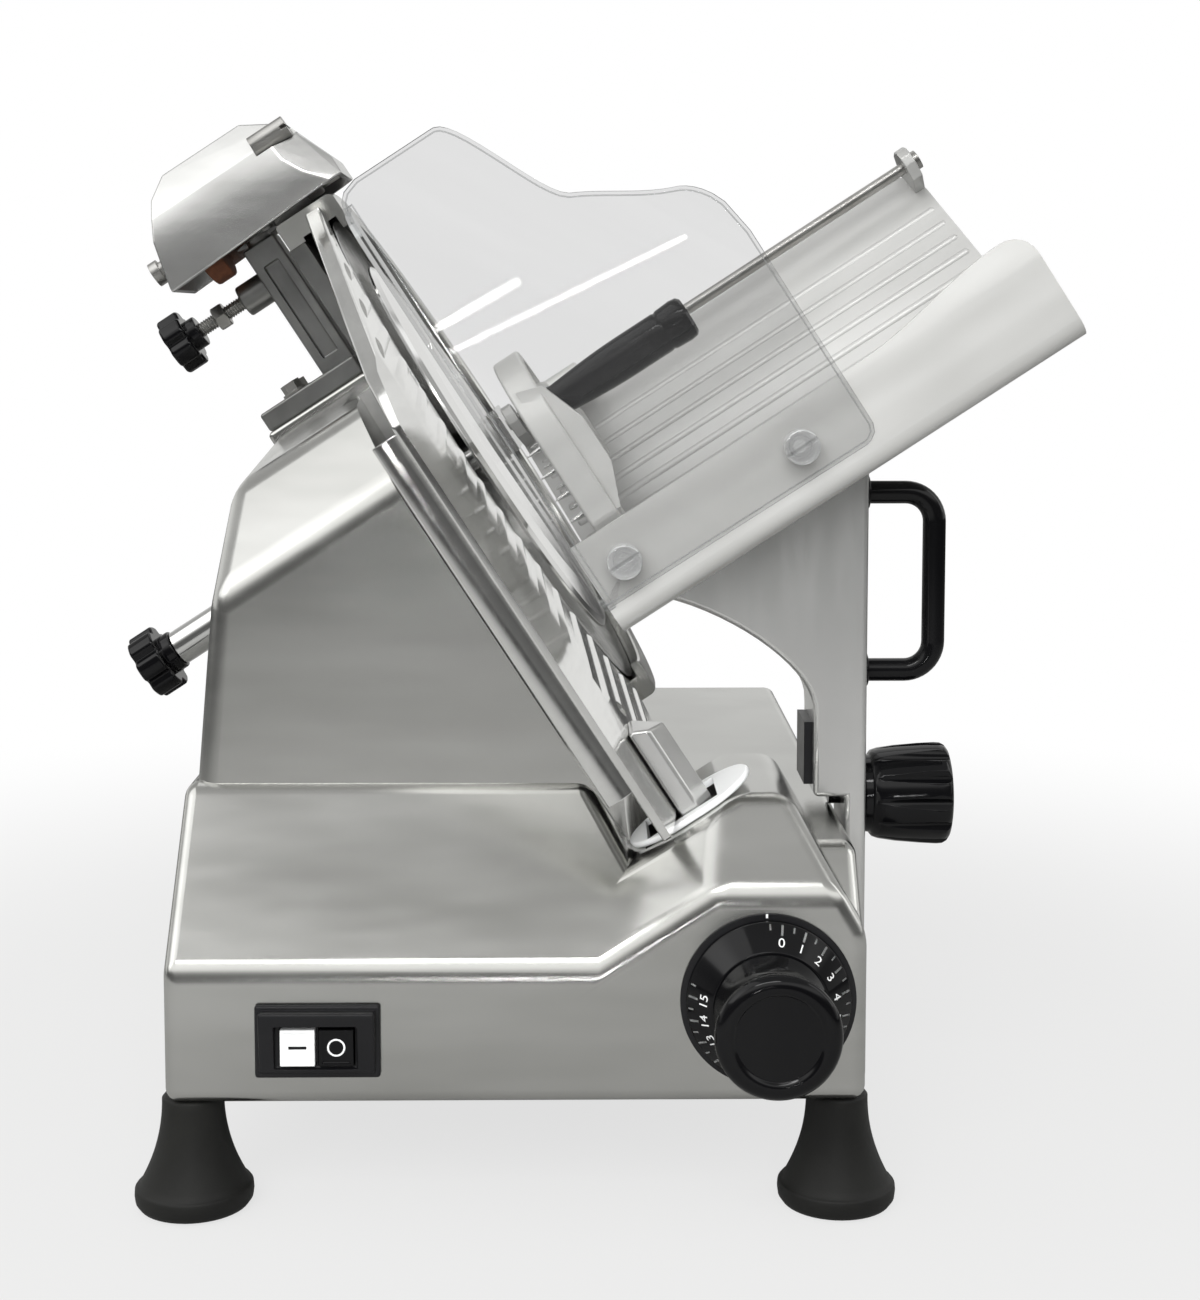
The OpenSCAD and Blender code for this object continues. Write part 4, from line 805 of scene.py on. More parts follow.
cap = push_cap("on_cap", -BUTTON_SIDE, -5.1)
complete(cap, settle_base, 25, "on_button", "white", "white", "on_button")
cap = push_cap("off_cap", BUTTON_SIDE, -4.7)
complete(cap, settle_base, 25, "off_button", "black", "gloss_black", "off_button")

dash = flat_bar("on_mark", SWITCH_X - 12.2, SWITCH_X - 4.4, -4.75, SWITCH_Z - 2.6, SWITCH_Z - 1.3, 0.4)
hand_over(settle_base(round_edges(dash, 0.12, 2)), "on_button", "black", "black")

hoop = [(3.1, -4.36, 0), (3.9, -4.36, 0), (3.9, -4.0, 0), (3.1, -4.0, 0), (3.1, -4.36, 0)]
hoop = move(draw_spun("off_mark", hoop, ALONG_Y, 40), SWITCH_X + BUTTON_SIDE, 0, SWITCH_Z - 2)
hand_over(settle_base(hoop), "off_button", "white", "white")

# %% [markdown]
# ## Thickness dial
# A cone carries the scale: 0 to 15 millimetres, a long stroke for each and a short one between. The
# strokes are one drawn stroke repeated by a spin, and the figures are set type turned to mesh and laid
# flat on the cone. The knob in front is turned: a waist for the fingers and a rounded rim about a sunk face.

# %% Dial body
STEP, ZERO = 17.8, 9.0
CONE_TIP, FIGURE_R = -39.95, 28.6


def dial_place(piece):
    return settle_base(move(piece, DIAL_X, 0, DIAL_Z))


cone_line = [(5, -1.6, 0), (35, -1.6, 0), (35.5, -2.0, 0), (35.5, -4.2, 0), (35.1, -5.0, 0),
             (25.6, -14.5, 0), (24.9, -14.7, 0), (5, -14.7, 0), (5, -1.6, 0)]
cone = draw_spun("dial_cone", cone_line, ALONG_Y, 128)
complete(cone, dial_place, 35, "dial", "gloss_black", "gloss_black", "dial_scale")

waist = [(5, -14.7, 0), (23.6, -14.7, 0), (24.4, -15.4, 0)]
for k in range(15):
    t = k / 14
    waist.append((24.4 - 4.4 * math.sin(math.pi * min(1, t * 1.04)) + 1.3 * t ** 4, -15.4 - 29 * t, 0))
waist += [(25.6, -45.0, 0), (26.2, -46.0, 0), (26.5, -47.2, 0), (26.3, -48.6, 0), (25.6, -50.0, 0),
          (24.4, -51.1, 0), (22.8, -51.8, 0), (21.0, -52.0, 0), (19.6, -51.8, 0), (18.7, -51.3, 0),
          (18.2, -50.7, 0), (17.6, -50.4, 0), (5, -50.4, 0), (0.01, -50.4, 0), (0.01, -44, 0), (5, -44, 0),
          (5, -14.7, 0)]
knob = draw_spun("dial_knob", waist, ALONG_Y, 128)
complete(knob, dial_place, 35, "dial", "gloss_black", "gloss_black", "dial_grip")


# %% Dial figures
def stroke(width, near, far):
    ends = [(-width / 2, near), (width / 2, near), (width / 2, far), (-width / 2, far)]
    return [(x, CONE_TIP + r - 0.22, r) for x, r in ends]


def strokes(name, width, near, far, first, count):
    piece = draw_prism(name, stroke(width, near, far), (0, 0.2, 0.2))
    keep_only(piece)
    bpy.ops.object.mode_set(mode="EDIT")
    bpy.ops.mesh.select_all(action="SELECT")
    bpy.ops.mesh.spin(steps=count - 1, dupli=True, angle=math.radians(STEP * (count - 1)), center=(0, 0, 0),
                      axis=(0, -1, 0))
    close_up()
    return settle(piece, (0, math.radians(first), 0))


def figure(k):
    bpy.ops.object.select_all(action="DESELECT")
    bpy.ops.object.text_add(location=(0, 0, 0))
    label = bpy.context.object
    label.data.body = str(k)
    label.data.size = 6.2 * MM
    label.data.extrude = 0.12 * MM
    label.data.align_x = "CENTER"
    label.data.align_y = "CENTER"
    bpy.ops.object.convert(target="MESH")
    settle(label, (math.radians(45), 0, 0))
    move(label, 0, CONE_TIP + FIGURE_R - 0.12, FIGURE_R)
    return settle(label, (0, math.radians(ZERO + STEP * k), 0))


marks = [strokes("long_strokes", 0.95, 31.2, 34.6, ZERO, 16),
         strokes("short_strokes", 0.7, 32.8, 34.6, ZERO - STEP / 2, 17)]
clear_selection()
marks += [figure(k) for k in range(16)]
dial_marks = dial_place(join_pieces("dial_marks", marks))
hand_over(dial_marks, "dial", "white", "white")

index_line = flat_bar("dial_index", DIAL_X - 1.4, DIAL_X - 0.4, -1.25, DIAL_Z + 36.2, DIAL_Z + 38.0, 0.3)
hand_over(settle_base(index_line), "frame", "white", "white")

# %% [markdown]
# ## Gauge plate
# The food slides along this plate up to the blade. It is a thick casting with a scooped edge that follows
# the blade, and a field of shallow round ribs at a small slant. The ribs are long bars sunk in the plate,
# trimmed to a smaller copy of its outline, so that they run out short of the edge. The near edge slopes
# back and ends in a rolled lip, which hides the gap to the hump and is kind to the hand.


# %% Gauge plate
def gauge_outline(inset):
    return [(5 + inset, -176 + inset), (5 + inset, 37 - inset), (27 + inset, 61 - inset),
            (238 - inset, 157 - inset), (248 - inset, 153 - inset), (248 - inset, -151 + inset),
            (202 - inset, -176 + inset)]


def gauge_slab(name, inset, n0, n1):
    slab = draw_prism(name, [(n0, y, v) for y, v in gauge_outline(inset)], (n1 - n0, 0, 0))
    wall = [(n0 - 1, 0, 0), (n0 - 1, 0, 151.4 + inset), (n1 + 1, 0, 154.3 + inset), (n1 + 1, 0, 0),
            (n0 - 1, 0, 0)]
    scoop = draw_spun("scoop", wall, ALONG_X, 160)
    cut_by(slab, move(scoop, 0, BY, 0))
    return slab


def rib_bar(k):
    slope = math.radians(6)
    along = (0, math.cos(slope), math.sin(slope))
    return bar("rib", (-7.8, 5, -174.5 + 17 * k), along, 18, 320, 40)


plate = gauge_slab("gauge_plate_cast", 0, -9, 0)
round_edges(plate, 1.5, 3)
ribs = join_pieces("ribs", [rib_bar(k) for k in range(-2, 22)])
field = gauge_slab("field", 9, -3, 3)
cut_by(field, start_block("post_room", (-5, 30, -190), (5, 92, -119)))
cut_by(ribs, field, "INTERSECT")
cut_by(plate, ribs, "UNION")
saw(plate, (0, 50, 0), (45, -5, 0))
roll = [(-4.2, 16), (-5.6, 9), (-7.8, 6), (-11, 4.4), (-16, 3.8), (-20.4, 4.2), (-21, 5.4), (-20.4, 6.6),
        (-16, 6.8), (-12, 7.8), (-8.6, 12)]
lip = draw_prism("rolled_lip", [(n, y, -150) for n, y in roll], (0, 0, 184))
cut_by(plate, round_edges(lip, 0.6, 2, 50), "UNION")
complete(plate, settle_slant, 40, "gauge", "sheet", "gauge_face", "gauge_plate")

# %% [markdown]
# ## Gauge post and seal
# A folded triangular post carries the plate and passes through a white oval seal into the base. Below,
# out of sight, it ends in a block on two rods, with a pin that follows the dial's spiral groove.

# %% Gauge post
DIAL_N = (DIAL_X - BX) * math.cos(TILT) + (DIAL_Z - BZ) * math.sin(TILT)
DIAL_V = -(DIAL_X - BX) * math.sin(TILT) + (DIAL_Z - BZ) * math.cos(TILT)
ROD_V = PAD_V - WALL - 29
PIN_N = DIAL_N - 12
POST_FOOT, POST_TOP = ROD_V + 10, -135
corners = [(0, 44), (9, 43.6), (16, 58), (0, 76)]
post = draw_prism("gauge_post", [(n, y, POST_FOOT) for n, y in corners], (0, 0, POST_TOP - POST_FOOT))
saw(post, (16, 60, -141), (0.42, 0, 0.91))
round_edges(post, 1.6, 3)
block = start_block("slider_block", (-8, 40, ROD_V - 16), (18, 80, ROD_V + 16))
cut_by(post, round_edges(block, 1.5, 2), "UNION")
cut_by(post, start_block("web", (PIN_N - 6, 32, DIAL_V - 5), (PIN_N + 6, 40.5, ROD_V + 4)), "UNION")
cut_by(post, start_block("foot", (PIN_N - 6, 32, ROD_V - 10), (10, 40.5, ROD_V + 4)), "UNION")
cut_by(post, bar("pin", (PIN_N, 13, DIAL_V), ALONG_Y, 6, 21, 32), "UNION")
for side in (-11, 11):
    cut_by(post, bar("rod_bore", (-20, 60 + side, ROD_V), ALONG_X, 10.1, 60, 48))
complete(post, settle_slant, 30, "gauge", "steel", "arm_cast", "gauge_slider")

oval = []
for k in range(49):
    turn = math.pi * (k / 24 - 0.5)
    side = 7 if k < 24 else -7
    oval.append((4.4 + side + 25 * math.cos(turn), 60 + 25 * math.sin(turn), PAD_V))
seal = draw_prism("oval_seal", oval, (0, 0, 3))
round_edges(seal, 1.2, 3)
cut_by(seal, start_block("post_slot", (-18, 42, PAD_V - 4), (19, 78, PAD_V + 8)))
complete(seal, settle_slant, 40, "frame", "white", "white", "gauge_seal")

# %% [markdown]
# ## Blade ring
# A fixed ring guards the blade's edge where it doesn't cut. It is a ring section swept through part of a
# turn and closed at both ends. The blade and its cover plate keep the frame's own shapes.

# %% Blade ring
section = [(150.05, HUMP_N), (163.6, HUMP_N), (165, HUMP_N + 1.4), (165, 4.4), (164.2, 6.6), (162, 8),
           (146, 8), (145, 7), (145, 3), (152.5, 3), (152.5, -18), (150.05, -18)]
ring = start_line("edge_ring", [(n, 0, r) for r, n in section + section[:1]])
bpy.ops.mesh.remove_doubles(threshold=MERGE)
bpy.ops.mesh.spin(steps=120, angle=math.radians(200), center=(0, 0, 0), axis=(1, 0, 0))
bpy.ops.mesh.select_all(action="SELECT")
bpy.ops.mesh.remove_doubles(threshold=MERGE)
bpy.ops.mesh.fill_holes(sides=0)
close_up()
settle(ring, (math.radians(10), 0, 0), (0, BY * MM, 0))
complete(ring, settle_slant, 35, "frame", "cast", "cast", "blade_ring")

# %% [markdown]
# ## Carriage arm
# One bent casting carries the whole tray: a strong web outside the base, a wide curved shoulder under the
# tray, and a tongue through the slot to the slide. Its outline is drawn once from the side and pulled to
# width, and the long edges are rounded as on the casting.

# %% Carriage arm
ARM_X0, ARM_X1, REST_Y = XR + 2, XR + 12, 120.0
TRAY_N0, TRAY_L, TRAY_V, TRAY_Y0, BACK_Y0 = 23.0, 248.0, -98.0, 58.0, 150.0
SLIDE_Z, LOCK_Z, HANDLE_Z = Z0 + 37, BZ - 157, BZ - 102
ROD_Y, ROD_PV = 208.0, 6.0
GUARD_SCREWS, GUARD_SCREW_V = (TRAY_N0 + 18, TRAY_N0 + 112), -69


def under_tray(n):
    x, y, z = slant_mm(n, 0, TRAY_V)
    return x, z


left_x, left_z = under_tray(44)
right_n = (ARM_X1 - BX + TRAY_V * math.sin(TILT)) / math.cos(TILT)
low_z, inner_x = Z_DECK + 7, XR - 13
side = [(ARM_X1, SLIDE_Z - 12), under_tray(right_n), (left_x, left_z)]
for k in range(1, 16):
    t = k / 16
    swing = math.radians(90 * t)
    side.append((left_x + (inner_x - left_x) * math.sin(swing),
                 left_z + (low_z + 40 - left_z) * (1 - math.cos(swing)) - 8 * math.sin(2 * swing)))
side += [(inner_x, low_z + 38), (inner_x, low_z), (ARM_X0, low_z), (ARM_X0, SLIDE_Z - 12)]
arm = draw_prism("carriage_arm_cast", [(x, REST_Y - 23, z) for x, z in side], (0, 46, 0))
round_edges(arm, 2.6, 4, 30)
tongue = start_block("tongue", (XR - 8, REST_Y - 20, SLIDE_Z - 7), (XR + 3, REST_Y + 20, SLIDE_Z + 7))
cut_by(arm, tongue, "UNION")
cut_by(arm, bar("lock_bore", (XR - 20, REST_Y, LOCK_Z), ALONG_X, 10.1, 60, 48))
for z in (HANDLE_Z + 5.5, HANDLE_Z + 91.5):
    cut_by(arm, bar("handle_bore", (XR - 10, REST_Y, z), ALONG_X, 5.1, 60, 32))
complete(arm, settle_base, 35, "carriage", "cast", "arm_cast", "carriage_arm")

# %% [markdown]
# ## Tray
# The tray is sheet metal folded in one line: a near wall with a narrow turned edge, a flat floor and a
# leaning back wall. The line is drawn with round bends, pulled along the feed and given thickness. The
# near wall sweeps up to a wing at the far end. Half-round ribs on the back wall keep food from sticking,
# and that wall wears a darker copy of the sheet finish: painted shade, to tone down the light it catches.


# %% Tray sheet
def bend(corner, start_deg, end_deg, radius, steps=6):
    points = []
    for k in range(steps + 1):
        turn = math.radians(start_deg + (end_deg - start_deg) * k / steps)
        points.append((corner[0] + radius * math.cos(turn), corner[1] + radius * math.sin(turn)))
    return points


LEAN = math.degrees(math.atan2(98, 75))
fold = [(TRAY_Y0 + 3.2, TRAY_V + 57), (TRAY_Y0 + 1.5, TRAY_V + 41)]
fold += bend((TRAY_Y0 + 9.5, TRAY_V + 9.5), 180, 270, 8)
fold += bend((BACK_Y0 - 3, TRAY_V + 9.5), 270, 270 + LEAN, 8)
fold += [(BACK_Y0 + 76.2, TRAY_V + 99.5), (BACK_Y0 + 76.5, TRAY_V + 102)]
sheet = start_line("folded_tray", [(TRAY_N0, y, v) for y, v in fold])
bpy.ops.mesh.extrude_edges_move(TRANSFORM_OT_translate={"value": (TRAY_L * MM, 0, 0)})
bpy.ops.mesh.select_all(action="SELECT")
bpy.ops.mesh.normals_make_consistent(inside=False)
bpy.ops.object.mode_set(mode="OBJECT")
add_modifier(sheet, "SOLIDIFY", thickness=3 * MM, offset=0, use_even_offset=True)
END = TRAY_N0 + TRAY_L


def swept_edge():
    points = [(TRAY_N0 - 5, 0, TRAY_V + 46)]
    for k in range(17):
        t = k / 16
        points.append((END - 92 + 80 * t, 0, TRAY_V + 46 + 10 * t * t * (3 - 2 * t)))
    points += [(n, 0, v) for n, v in bend((END - 12, TRAY_V + 44), 75, 0, 12, 5)]
    return points + [(END + 9, 0, TRAY_V + 44), (END + 9, 0, TRAY_V + 80), (TRAY_N0 - 5, 0, TRAY_V + 80)]


cut_by(sheet, draw_prism("edge_tool", [(n, TRAY_Y0 - 10, v) for n, y, v in swept_edge()], (0, 22, 0)))
corner = [(END + 5, 140, TRAY_V + 60), (END + 5, 140, TRAY_V + 120), (END - 40, 140, TRAY_V + 120)]
corner += [(n, 140, v) for n, v in bend((END - 14, TRAY_V + 88), 90, 0, 14, 9)]
cut_by(sheet, draw_prism("corner_tool", corner, (0, 140, 0)))
round_edges(sheet, 0.7, 2, 40)
print("sheet:", len(sheet.data.polygons), "faces")


# %% Tray ribs and ears
def back_rib(k):
    t = 0.14 + 0.64 * k / 7
    y = BACK_Y0 + 75 * t + 1.2
    v = TRAY_V + 3 + 95 * t
    return round_edges(bar("back_rib", (TRAY_N0 + 3, y, v), ALONG_X, 5.2, TRAY_L - 6, 24), 1.6, 3, 60)


def rod_ear(n):
    outline = [(199, 6), (200, 11), (203, 14.4), (208, 15.4), (214, 14), (227.6, 4), (227.6, -2),
               (219, -10), (202, -2)]
    return round_edges(draw_prism("rod_ear", [(n, y, v) for y, v in outline], (6, 0, 0)), 0.8, 2)


for k in range(8):
    cut_by(sheet, back_rib(k), "UNION")
for n in (TRAY_N0, END - 6):
    cut_by(sheet, rod_ear(n), "UNION")
cut_by(sheet, bar("rod_bore", (TRAY_N0 - 2, ROD_Y, ROD_PV), ALONG_X, 6.1, TRAY_L + 10, 48))
for n in GUARD_SCREWS:
    cut_by(sheet, bar("screw_bore", (n, TRAY_Y0 - 4, GUARD_SCREW_V), ALONG_Y, 6.1, 12, 32))
for n in (66, right_n - 18):
    for y in (REST_Y - 12, REST_Y + 12):
        cut_by(sheet, bar("bolt_bore", (n, y, TRAY_V - 3), ALONG_Z, 5.1, 12, 32))
complete(sheet, settle_slant, 35, "carriage", "sheet", "sheet", "tray")
# The back wall wears the darker copy of the sheet finish as painted shade.
back_wall_y = base_point(0, BACK_Y0, 0).y
back_wall = [face.index for face in sheet.data.polygons if face.center.y > back_wall_y]
mark_faces(sheet, "painted_shade_sheet", back_wall)

# %% [markdown]
# ## Clear hand guard
# A bent acrylic sheet stands between the hand and the blade. It is cut from one outline with a high crown,
# a long concave drop and a round corner, and its near edge is folded towards the user. Seen through, its
# faces almost vanish and its edges shine; that shine is painted: the rim faces and a thin line just inside
# the outline get a lighter, more opaque copy of the acrylic.


# %% Guard
def ease(t):
    t = min(1, max(0, t))
    return t * t * (3 - 2 * t)


def guard_edge(n):
    drop = 52 * ease((n - 74) / 36) + 30 * ease((n - 92) / 70)
    if n > 150:
        drop += 32 * (1 - math.sqrt(max(0, 1 - ((n - 150) / 18) ** 2)))
    return 138 - drop


crown = [(21, -84), (21, 128), (22.6, 132.6), (26, 135.8), (33, 138)]
crown += [(40 + 128 * k / 48, guard_edge(40 + 128 * k / 48)) for k in range(49)]
crown += [(168, -78), (166.4, -82), (163, -84.4), (160, -85)]
guard = draw_prism("bent_guard", [(n, TRAY_Y0 - 3, v) for n, v in crown], (0, 2.9, 0))
flap = [(58, -84), (58, 128), (50, 126), (42, 123.6), (34, 119), (30, 113), (28, 104), (28, 20), (29, 6),
        (50, -78), (53, -82)]
cut_by(guard, draw_prism("fold", [(21, y, v) for y, v in flap], (3, 0, 0)), "UNION")
round_edges(guard, 0.9, 3, 50)
for n in GUARD_SCREWS:
    cut_by(guard, bar("guard_bore", (n, TRAY_Y0 - 8, GUARD_SCREW_V), ALONG_Y, 6.1, 14, 32))
hand_over(guard, "carriage", "clear", "clear", "hand_guard")
guard.visible_shadow = False
# The rim faces get the painted edge shine.
FACING = 0.95
rims = [face.index for face in guard.data.polygons if abs(face.normal.y) <= FACING]
mark_faces(guard, "clear_edge_shine", rims)


def rim_step(piece, width, index):
    keep_only(piece)
    bpy.ops.object.mode_set(mode="EDIT")
    bpy.ops.mesh.select_all(action="DESELECT")
    bpy.ops.object.mode_set(mode="OBJECT")
    for face in piece.data.polygons:
        face.select = face.normal.y < -FACING and face.area > 0.0004
        if face.select:
            face.material_index = index
    bpy.ops.object.mode_set(mode="EDIT")
    if width:
        bpy.ops.mesh.inset(thickness=width * MM, use_even_offset=True)
    bpy.ops.object.mode_set(mode="OBJECT")


# A thin line 1.5 mm inside the front outline is painted in the rim's finish, as painted edge shine.
for width, index in ((1.5, 0), (0.8, 1), (0, 0)):
    rim_step(guard, width, index)
print("guard rim:", sum(face.material_index for face in guard.data.polygons), "edge faces")
settle_slant(guard)
smooth(guard, 35)


# %% Thumb screws
def thumb_screw(n):
    v = GUARD_SCREW_V
    head = round_edges(bar("thumb_screw", (n, TRAY_Y0 - 14, v), ALONG_Y, 16, 11, 48), 0.9)
    cut_by(head, bar("shank", (n, TRAY_Y0 - 4, v), ALONG_Y, 6, 10, 32), "UNION")
    cut_by(head, start_block("slot", (n - 10, TRAY_Y0 - 16, v - 1), (n + 10, TRAY_Y0 - 11.5, v + 1)))
    return head


screws = join_pieces("thumb_screws", [thumb_screw(n) for n in GUARD_SCREWS])
complete(screws, settle_slant, 30, "carriage", "clear", "clear_solid", "guard_screws")

# %% [markdown]
# ## Pusher
# The pusher plate is a hollow casting on a rod: an arch with a rim, and rows of teeth that hold the last
# piece of food. A turned black grip is screwed to its back.

# %% Pusher plate
PUSH_N, PUSH_Y0, PUSH_Y1 = 26.0, 74.0, 166.0


def arch(n, inset):
    points = [(n, PUSH_Y0 + 8 + inset * 0.6, -62 + inset), (n, PUSH_Y0 + inset, -50 + inset * 0.4)]
    for k in range(25):
        turn = math.radians(180 - 7.5 * k)
        points.append((n, PUSH_Y0 + 46 + (46 - inset) * math.cos(turn), -6 + (42 - inset) * math.sin(turn)))
    return points + [(n, PUSH_Y1 - inset, -46 + inset * 0.4), (n, PUSH_Y1 - 10 - inset * 0.6, -62 + inset)]


pusher = draw_prism("pusher_cast", arch(PUSH_N + 10, 0), (14, 0, 0))
round_edges(pusher, 1.6, 3, 30)
cut_by(pusher, round_edges(draw_prism("hollow", arch(PUSH_N + 16, 6), (20, 0, 0)), 2, 3, 30))
hub = bar("hub", (PUSH_N + 5, ROD_Y, ROD_PV), ALONG_X, 18, 38, 64)
cut_by(pusher, round_edges(hub, 1, 2), "UNION")
web = start_block("web", (PUSH_N + 10, PUSH_Y1 - 16, ROD_PV - 3), (PUSH_N + 36, ROD_Y, ROD_PV + 6))
cut_by(pusher, round_edges(web, 1.5), "UNION")
for y in (PUSH_Y0 + 6, PUSH_Y1 - 22):
    rise = [(14, -50), (26, -50), (34, -30), (34, -6), (26, 16), (14, 20)]
    cut_by(pusher, draw_prism("rise", [(PUSH_N + n, y, v) for n, v in rise], (0, 8, 0)), "UNION")
GRIP_Y, GRIP_V = PUSH_Y0 + 26, 6
cut_by(pusher, bar("grip_stud", (PUSH_N + 11, GRIP_Y, GRIP_V), ALONG_X, 8, 30, 32), "UNION")
cut_by(pusher, bar("grip_seat", (PUSH_N + 14, GRIP_Y, GRIP_V), ALONG_X, 15, 9, 48), "UNION")
cut_by(pusher, bar("hub_bore", (PUSH_N - 2, ROD_Y, ROD_PV), ALONG_X, 10.1, 60, 48))
cut_by(pusher, bar("window", (PUSH_N + 5, PUSH_Y0 + 46, -30), ALONG_X, 26, 20, 64))
complete(pusher, settle_slant, 35, "pusher", "cast", "sheet", "pusher_arm")


# %% Pusher teeth and grip
def tooth(y, v):
    line = [(0, 0, 0), (1.5, 0, 0), (1.5, 0, 4.6), (1.1, 0, 6), (0.3, 0, 11.6), (0, 0, 12), (0, 0, 0)]
    piece = draw_spun("tooth", line, ALONG_Z, 20)
    return settle(piece, (0, math.radians(-90), 0), ((PUSH_N + 14) * MM, y * MM, v * MM))


tooth_rows = (PUSH_Y0 + 8, PUSH_Y0 + 16, PUSH_Y1 - 16, PUSH_Y1 - 8)
teeth = join_pieces("pusher_spikes", [tooth(y, v) for y in tooth_rows for v in (-44, -32, -20, -8)])
complete(teeth, settle_slant, 40, "pusher", "steel", "polished", "pusher_teeth")

grip_line = [(0, 0, 19), (4.05, 0, 19), (4.05, 0, 0), (7.2, 0, 0), (7.9, 0, 0.6), (8, 0, 4.6), (7.7, 0, 5),
             (7.8, 0, 5.6)]
for k in range(13):
    t = k / 12
    grip_line.append((7.8 + 2.2 * math.sin(math.pi * 0.5 * min(1, t * 1.5)), 0, 6 + 57 * t))
grip_line += [(9.6, 0, 63.6), (9.6, 0, 64.2), (10.2, 0, 65), (10.7, 0, 73), (10.2, 0, 76.4), (8.8, 0, 77.8),
              (7, 0, 78), (0, 0, 78), (0, 0, 19)]
grip = draw_spun("turned_grip", grip_line, ALONG_Z, 64)
settle(grip, (0, math.radians(90), 0), ((PUSH_N + 23) * MM, GRIP_Y * MM, GRIP_V * MM))
complete(grip, settle_slant, 35, "pusher", "grip_black", "gloss_black", "pusher_grip")

# %% [markdown]
# ## Handle and lock knob
# The push handle is a bent round bar: a disc pulled straight, spun round a corner, pulled again and spun
# again, with a flange at each foot. The lock knob below has deep flutes, and widens towards its end.

# %% Push handle
BEND_R, BAR_R = 14.0, 5.5
x_far = ARM_X1 + 40 - BAR_R
z_low, z_high = HANDLE_Z + BAR_R, HANDLE_Z + 97 - BAR_R
clear_selection()
bpy.ops.mesh.primitive_circle_add(vertices=40, radius=BAR_R * MM, fill_type="NGON",
                                  rotation=(0, math.radians(90), 0),
                                  location=(ARM_X1 * MM, REST_Y * MM, z_low * MM))
handle = bpy.context.object
handle.name = "push_bar"
bpy.ops.object.transform_apply(location=True, rotation=True, scale=True)
bpy.ops.object.mode_set(mode="EDIT")
bpy.ops.mesh.select_all(action="SELECT")


def pull(x, z):
    bpy.ops.mesh.extrude_region_move(TRANSFORM_OT_translate={"value": (x * MM, 0, z * MM)})


def round_corner(z):
    bpy.ops.mesh.spin(steps=12, angle=math.radians(90),
                      center=((x_far - BEND_R) * MM, REST_Y * MM, z * MM), axis=ALONG_Y)


pull(x_far - BEND_R - ARM_X1, 0)
round_corner(z_low + BEND_R)
pull(0, z_high - z_low - 2 * BEND_R)
round_corner(z_high - BEND_R)
pull(-(x_far - BEND_R - ARM_X1), 0)
close_up()
for z in (z_low, z_high):
    flange = bar("flange", (ARM_X1, REST_Y, z), ALONG_X, 16, 3, 48)
    cut_by(handle, round_edges(flange, 0.9), "UNION")
complete(handle, settle_base, 40, "carriage", "gloss_black", "gloss_black", "push_handle")


# %% Lock knob
def fluted(x, radius, depth):
    points = []
    for k in range(144):
        turn = 2 * math.pi * k / 144
        r = radius - depth * (0.5 + 0.5 * math.cos(12 * turn)) ** 3
        points.append((x, r * math.cos(turn), r * math.sin(turn)))
    return points


body_line = [(4, 0, 0), (4, 0, 19.6), (5, 0, 20.8), (8, 0, 21.8), (16, 0, 23), (28, 0, 24), (36, 0, 24.4),
             (38.6, 0, 24.2), (40.4, 0, 23.2), (41.5, 0, 21.6), (42, 0, 19.6), (42, 0, 0), (4, 0, 0)]
lock = draw_spun("fluted_knob", body_line, ALONG_X, 144)
cut_by(lock, draw_prism("flutes", fluted(3, 24.5, 3.0), (42, 0, 0)), "INTERSECT")
collar_line = [(-16, 0, 0), (-16, 0, 5), (0, 0, 5), (0, 0, 17.6), (0.6, 0, 18.4), (4.2, 0, 18.8),
               (4.2, 0, 0), (-16, 0, 0)]
cut_by(lock, draw_spun("collar", collar_line, ALONG_X, 96), "UNION")
move(lock, ARM_X1 + 0.4, REST_Y, LOCK_Z)
complete(lock, settle_base, 35, "lock_knob", "gloss_black", "gloss_black", "lock_knob")

# %% [markdown]
# ## Sharpener
# A cast cover with a soft crease hides two stones. It sits on a post of an I-shaped bracket and is held by
# a threaded screw with a lobed knob. The cover is sawn from a block: first the long roof, then the sloped
# cheeks in four short steps, which round to a soft bulge. A smaller copy hollows it from below.

# %% Sharpener cover
HEAD_V, HEAD_N0, HEAD_N1, HEAD_TOP, HEAD_SIDE = 166.0, -93.0, 19.0, 221, 33
FLANK = [(HEAD_SIDE, 166), (32.2, 179), (30.2, 191), (26.6, 203), (15, HEAD_TOP)]
SCREW_BORE = 8.1


def cover_block(name, o, rounded):
    block = start_block(name, (HEAD_N0 + o, BY - HEAD_SIDE + o, 160 - o),
                        (HEAD_N1 - o, BY + HEAD_SIDE - o, HEAD_TOP - o))
    saw_xz(block, (HEAD_N0 + o, 165), (HEAD_N0 + 6 + o, 192))
    saw_xz(block, (HEAD_N0 + 6 + o, 192), (HEAD_N0 + 16 + o, 212 - o))
    saw_xz(block, (HEAD_N0 + 16 + o, 212 - o), (HEAD_N0 + 28 + o, HEAD_TOP - o))
    saw_xz(block, (HEAD_N1 - 34, HEAD_TOP - o), (HEAD_N1 - 12 - o, 207 - o))
    saw_xz(block, (HEAD_N1 - 12 - o, 207 - o), (HEAD_N1 - o, 178))
    for a, b in zip(FLANK, FLANK[1:]):
        saw_yz(block, (BY - a[0] + o, a[1] - o), (BY - b[0] + o, b[1] - o))
        saw_yz(block, (BY + b[0] - o, b[1] - o), (BY + a[0] - o, a[1] - o))
    for side in (-1, 1):
        saw(block, (HEAD_N1 - 43 - o, BY + side * (HEAD_SIDE - o), 202 - o), (396, side * 1190, 402))
    if rounded:
        saw_xz(block, (HEAD_N1, 167.5), (HEAD_N0, 163))
        round_edges(block, 4, 5, 12)
    return block


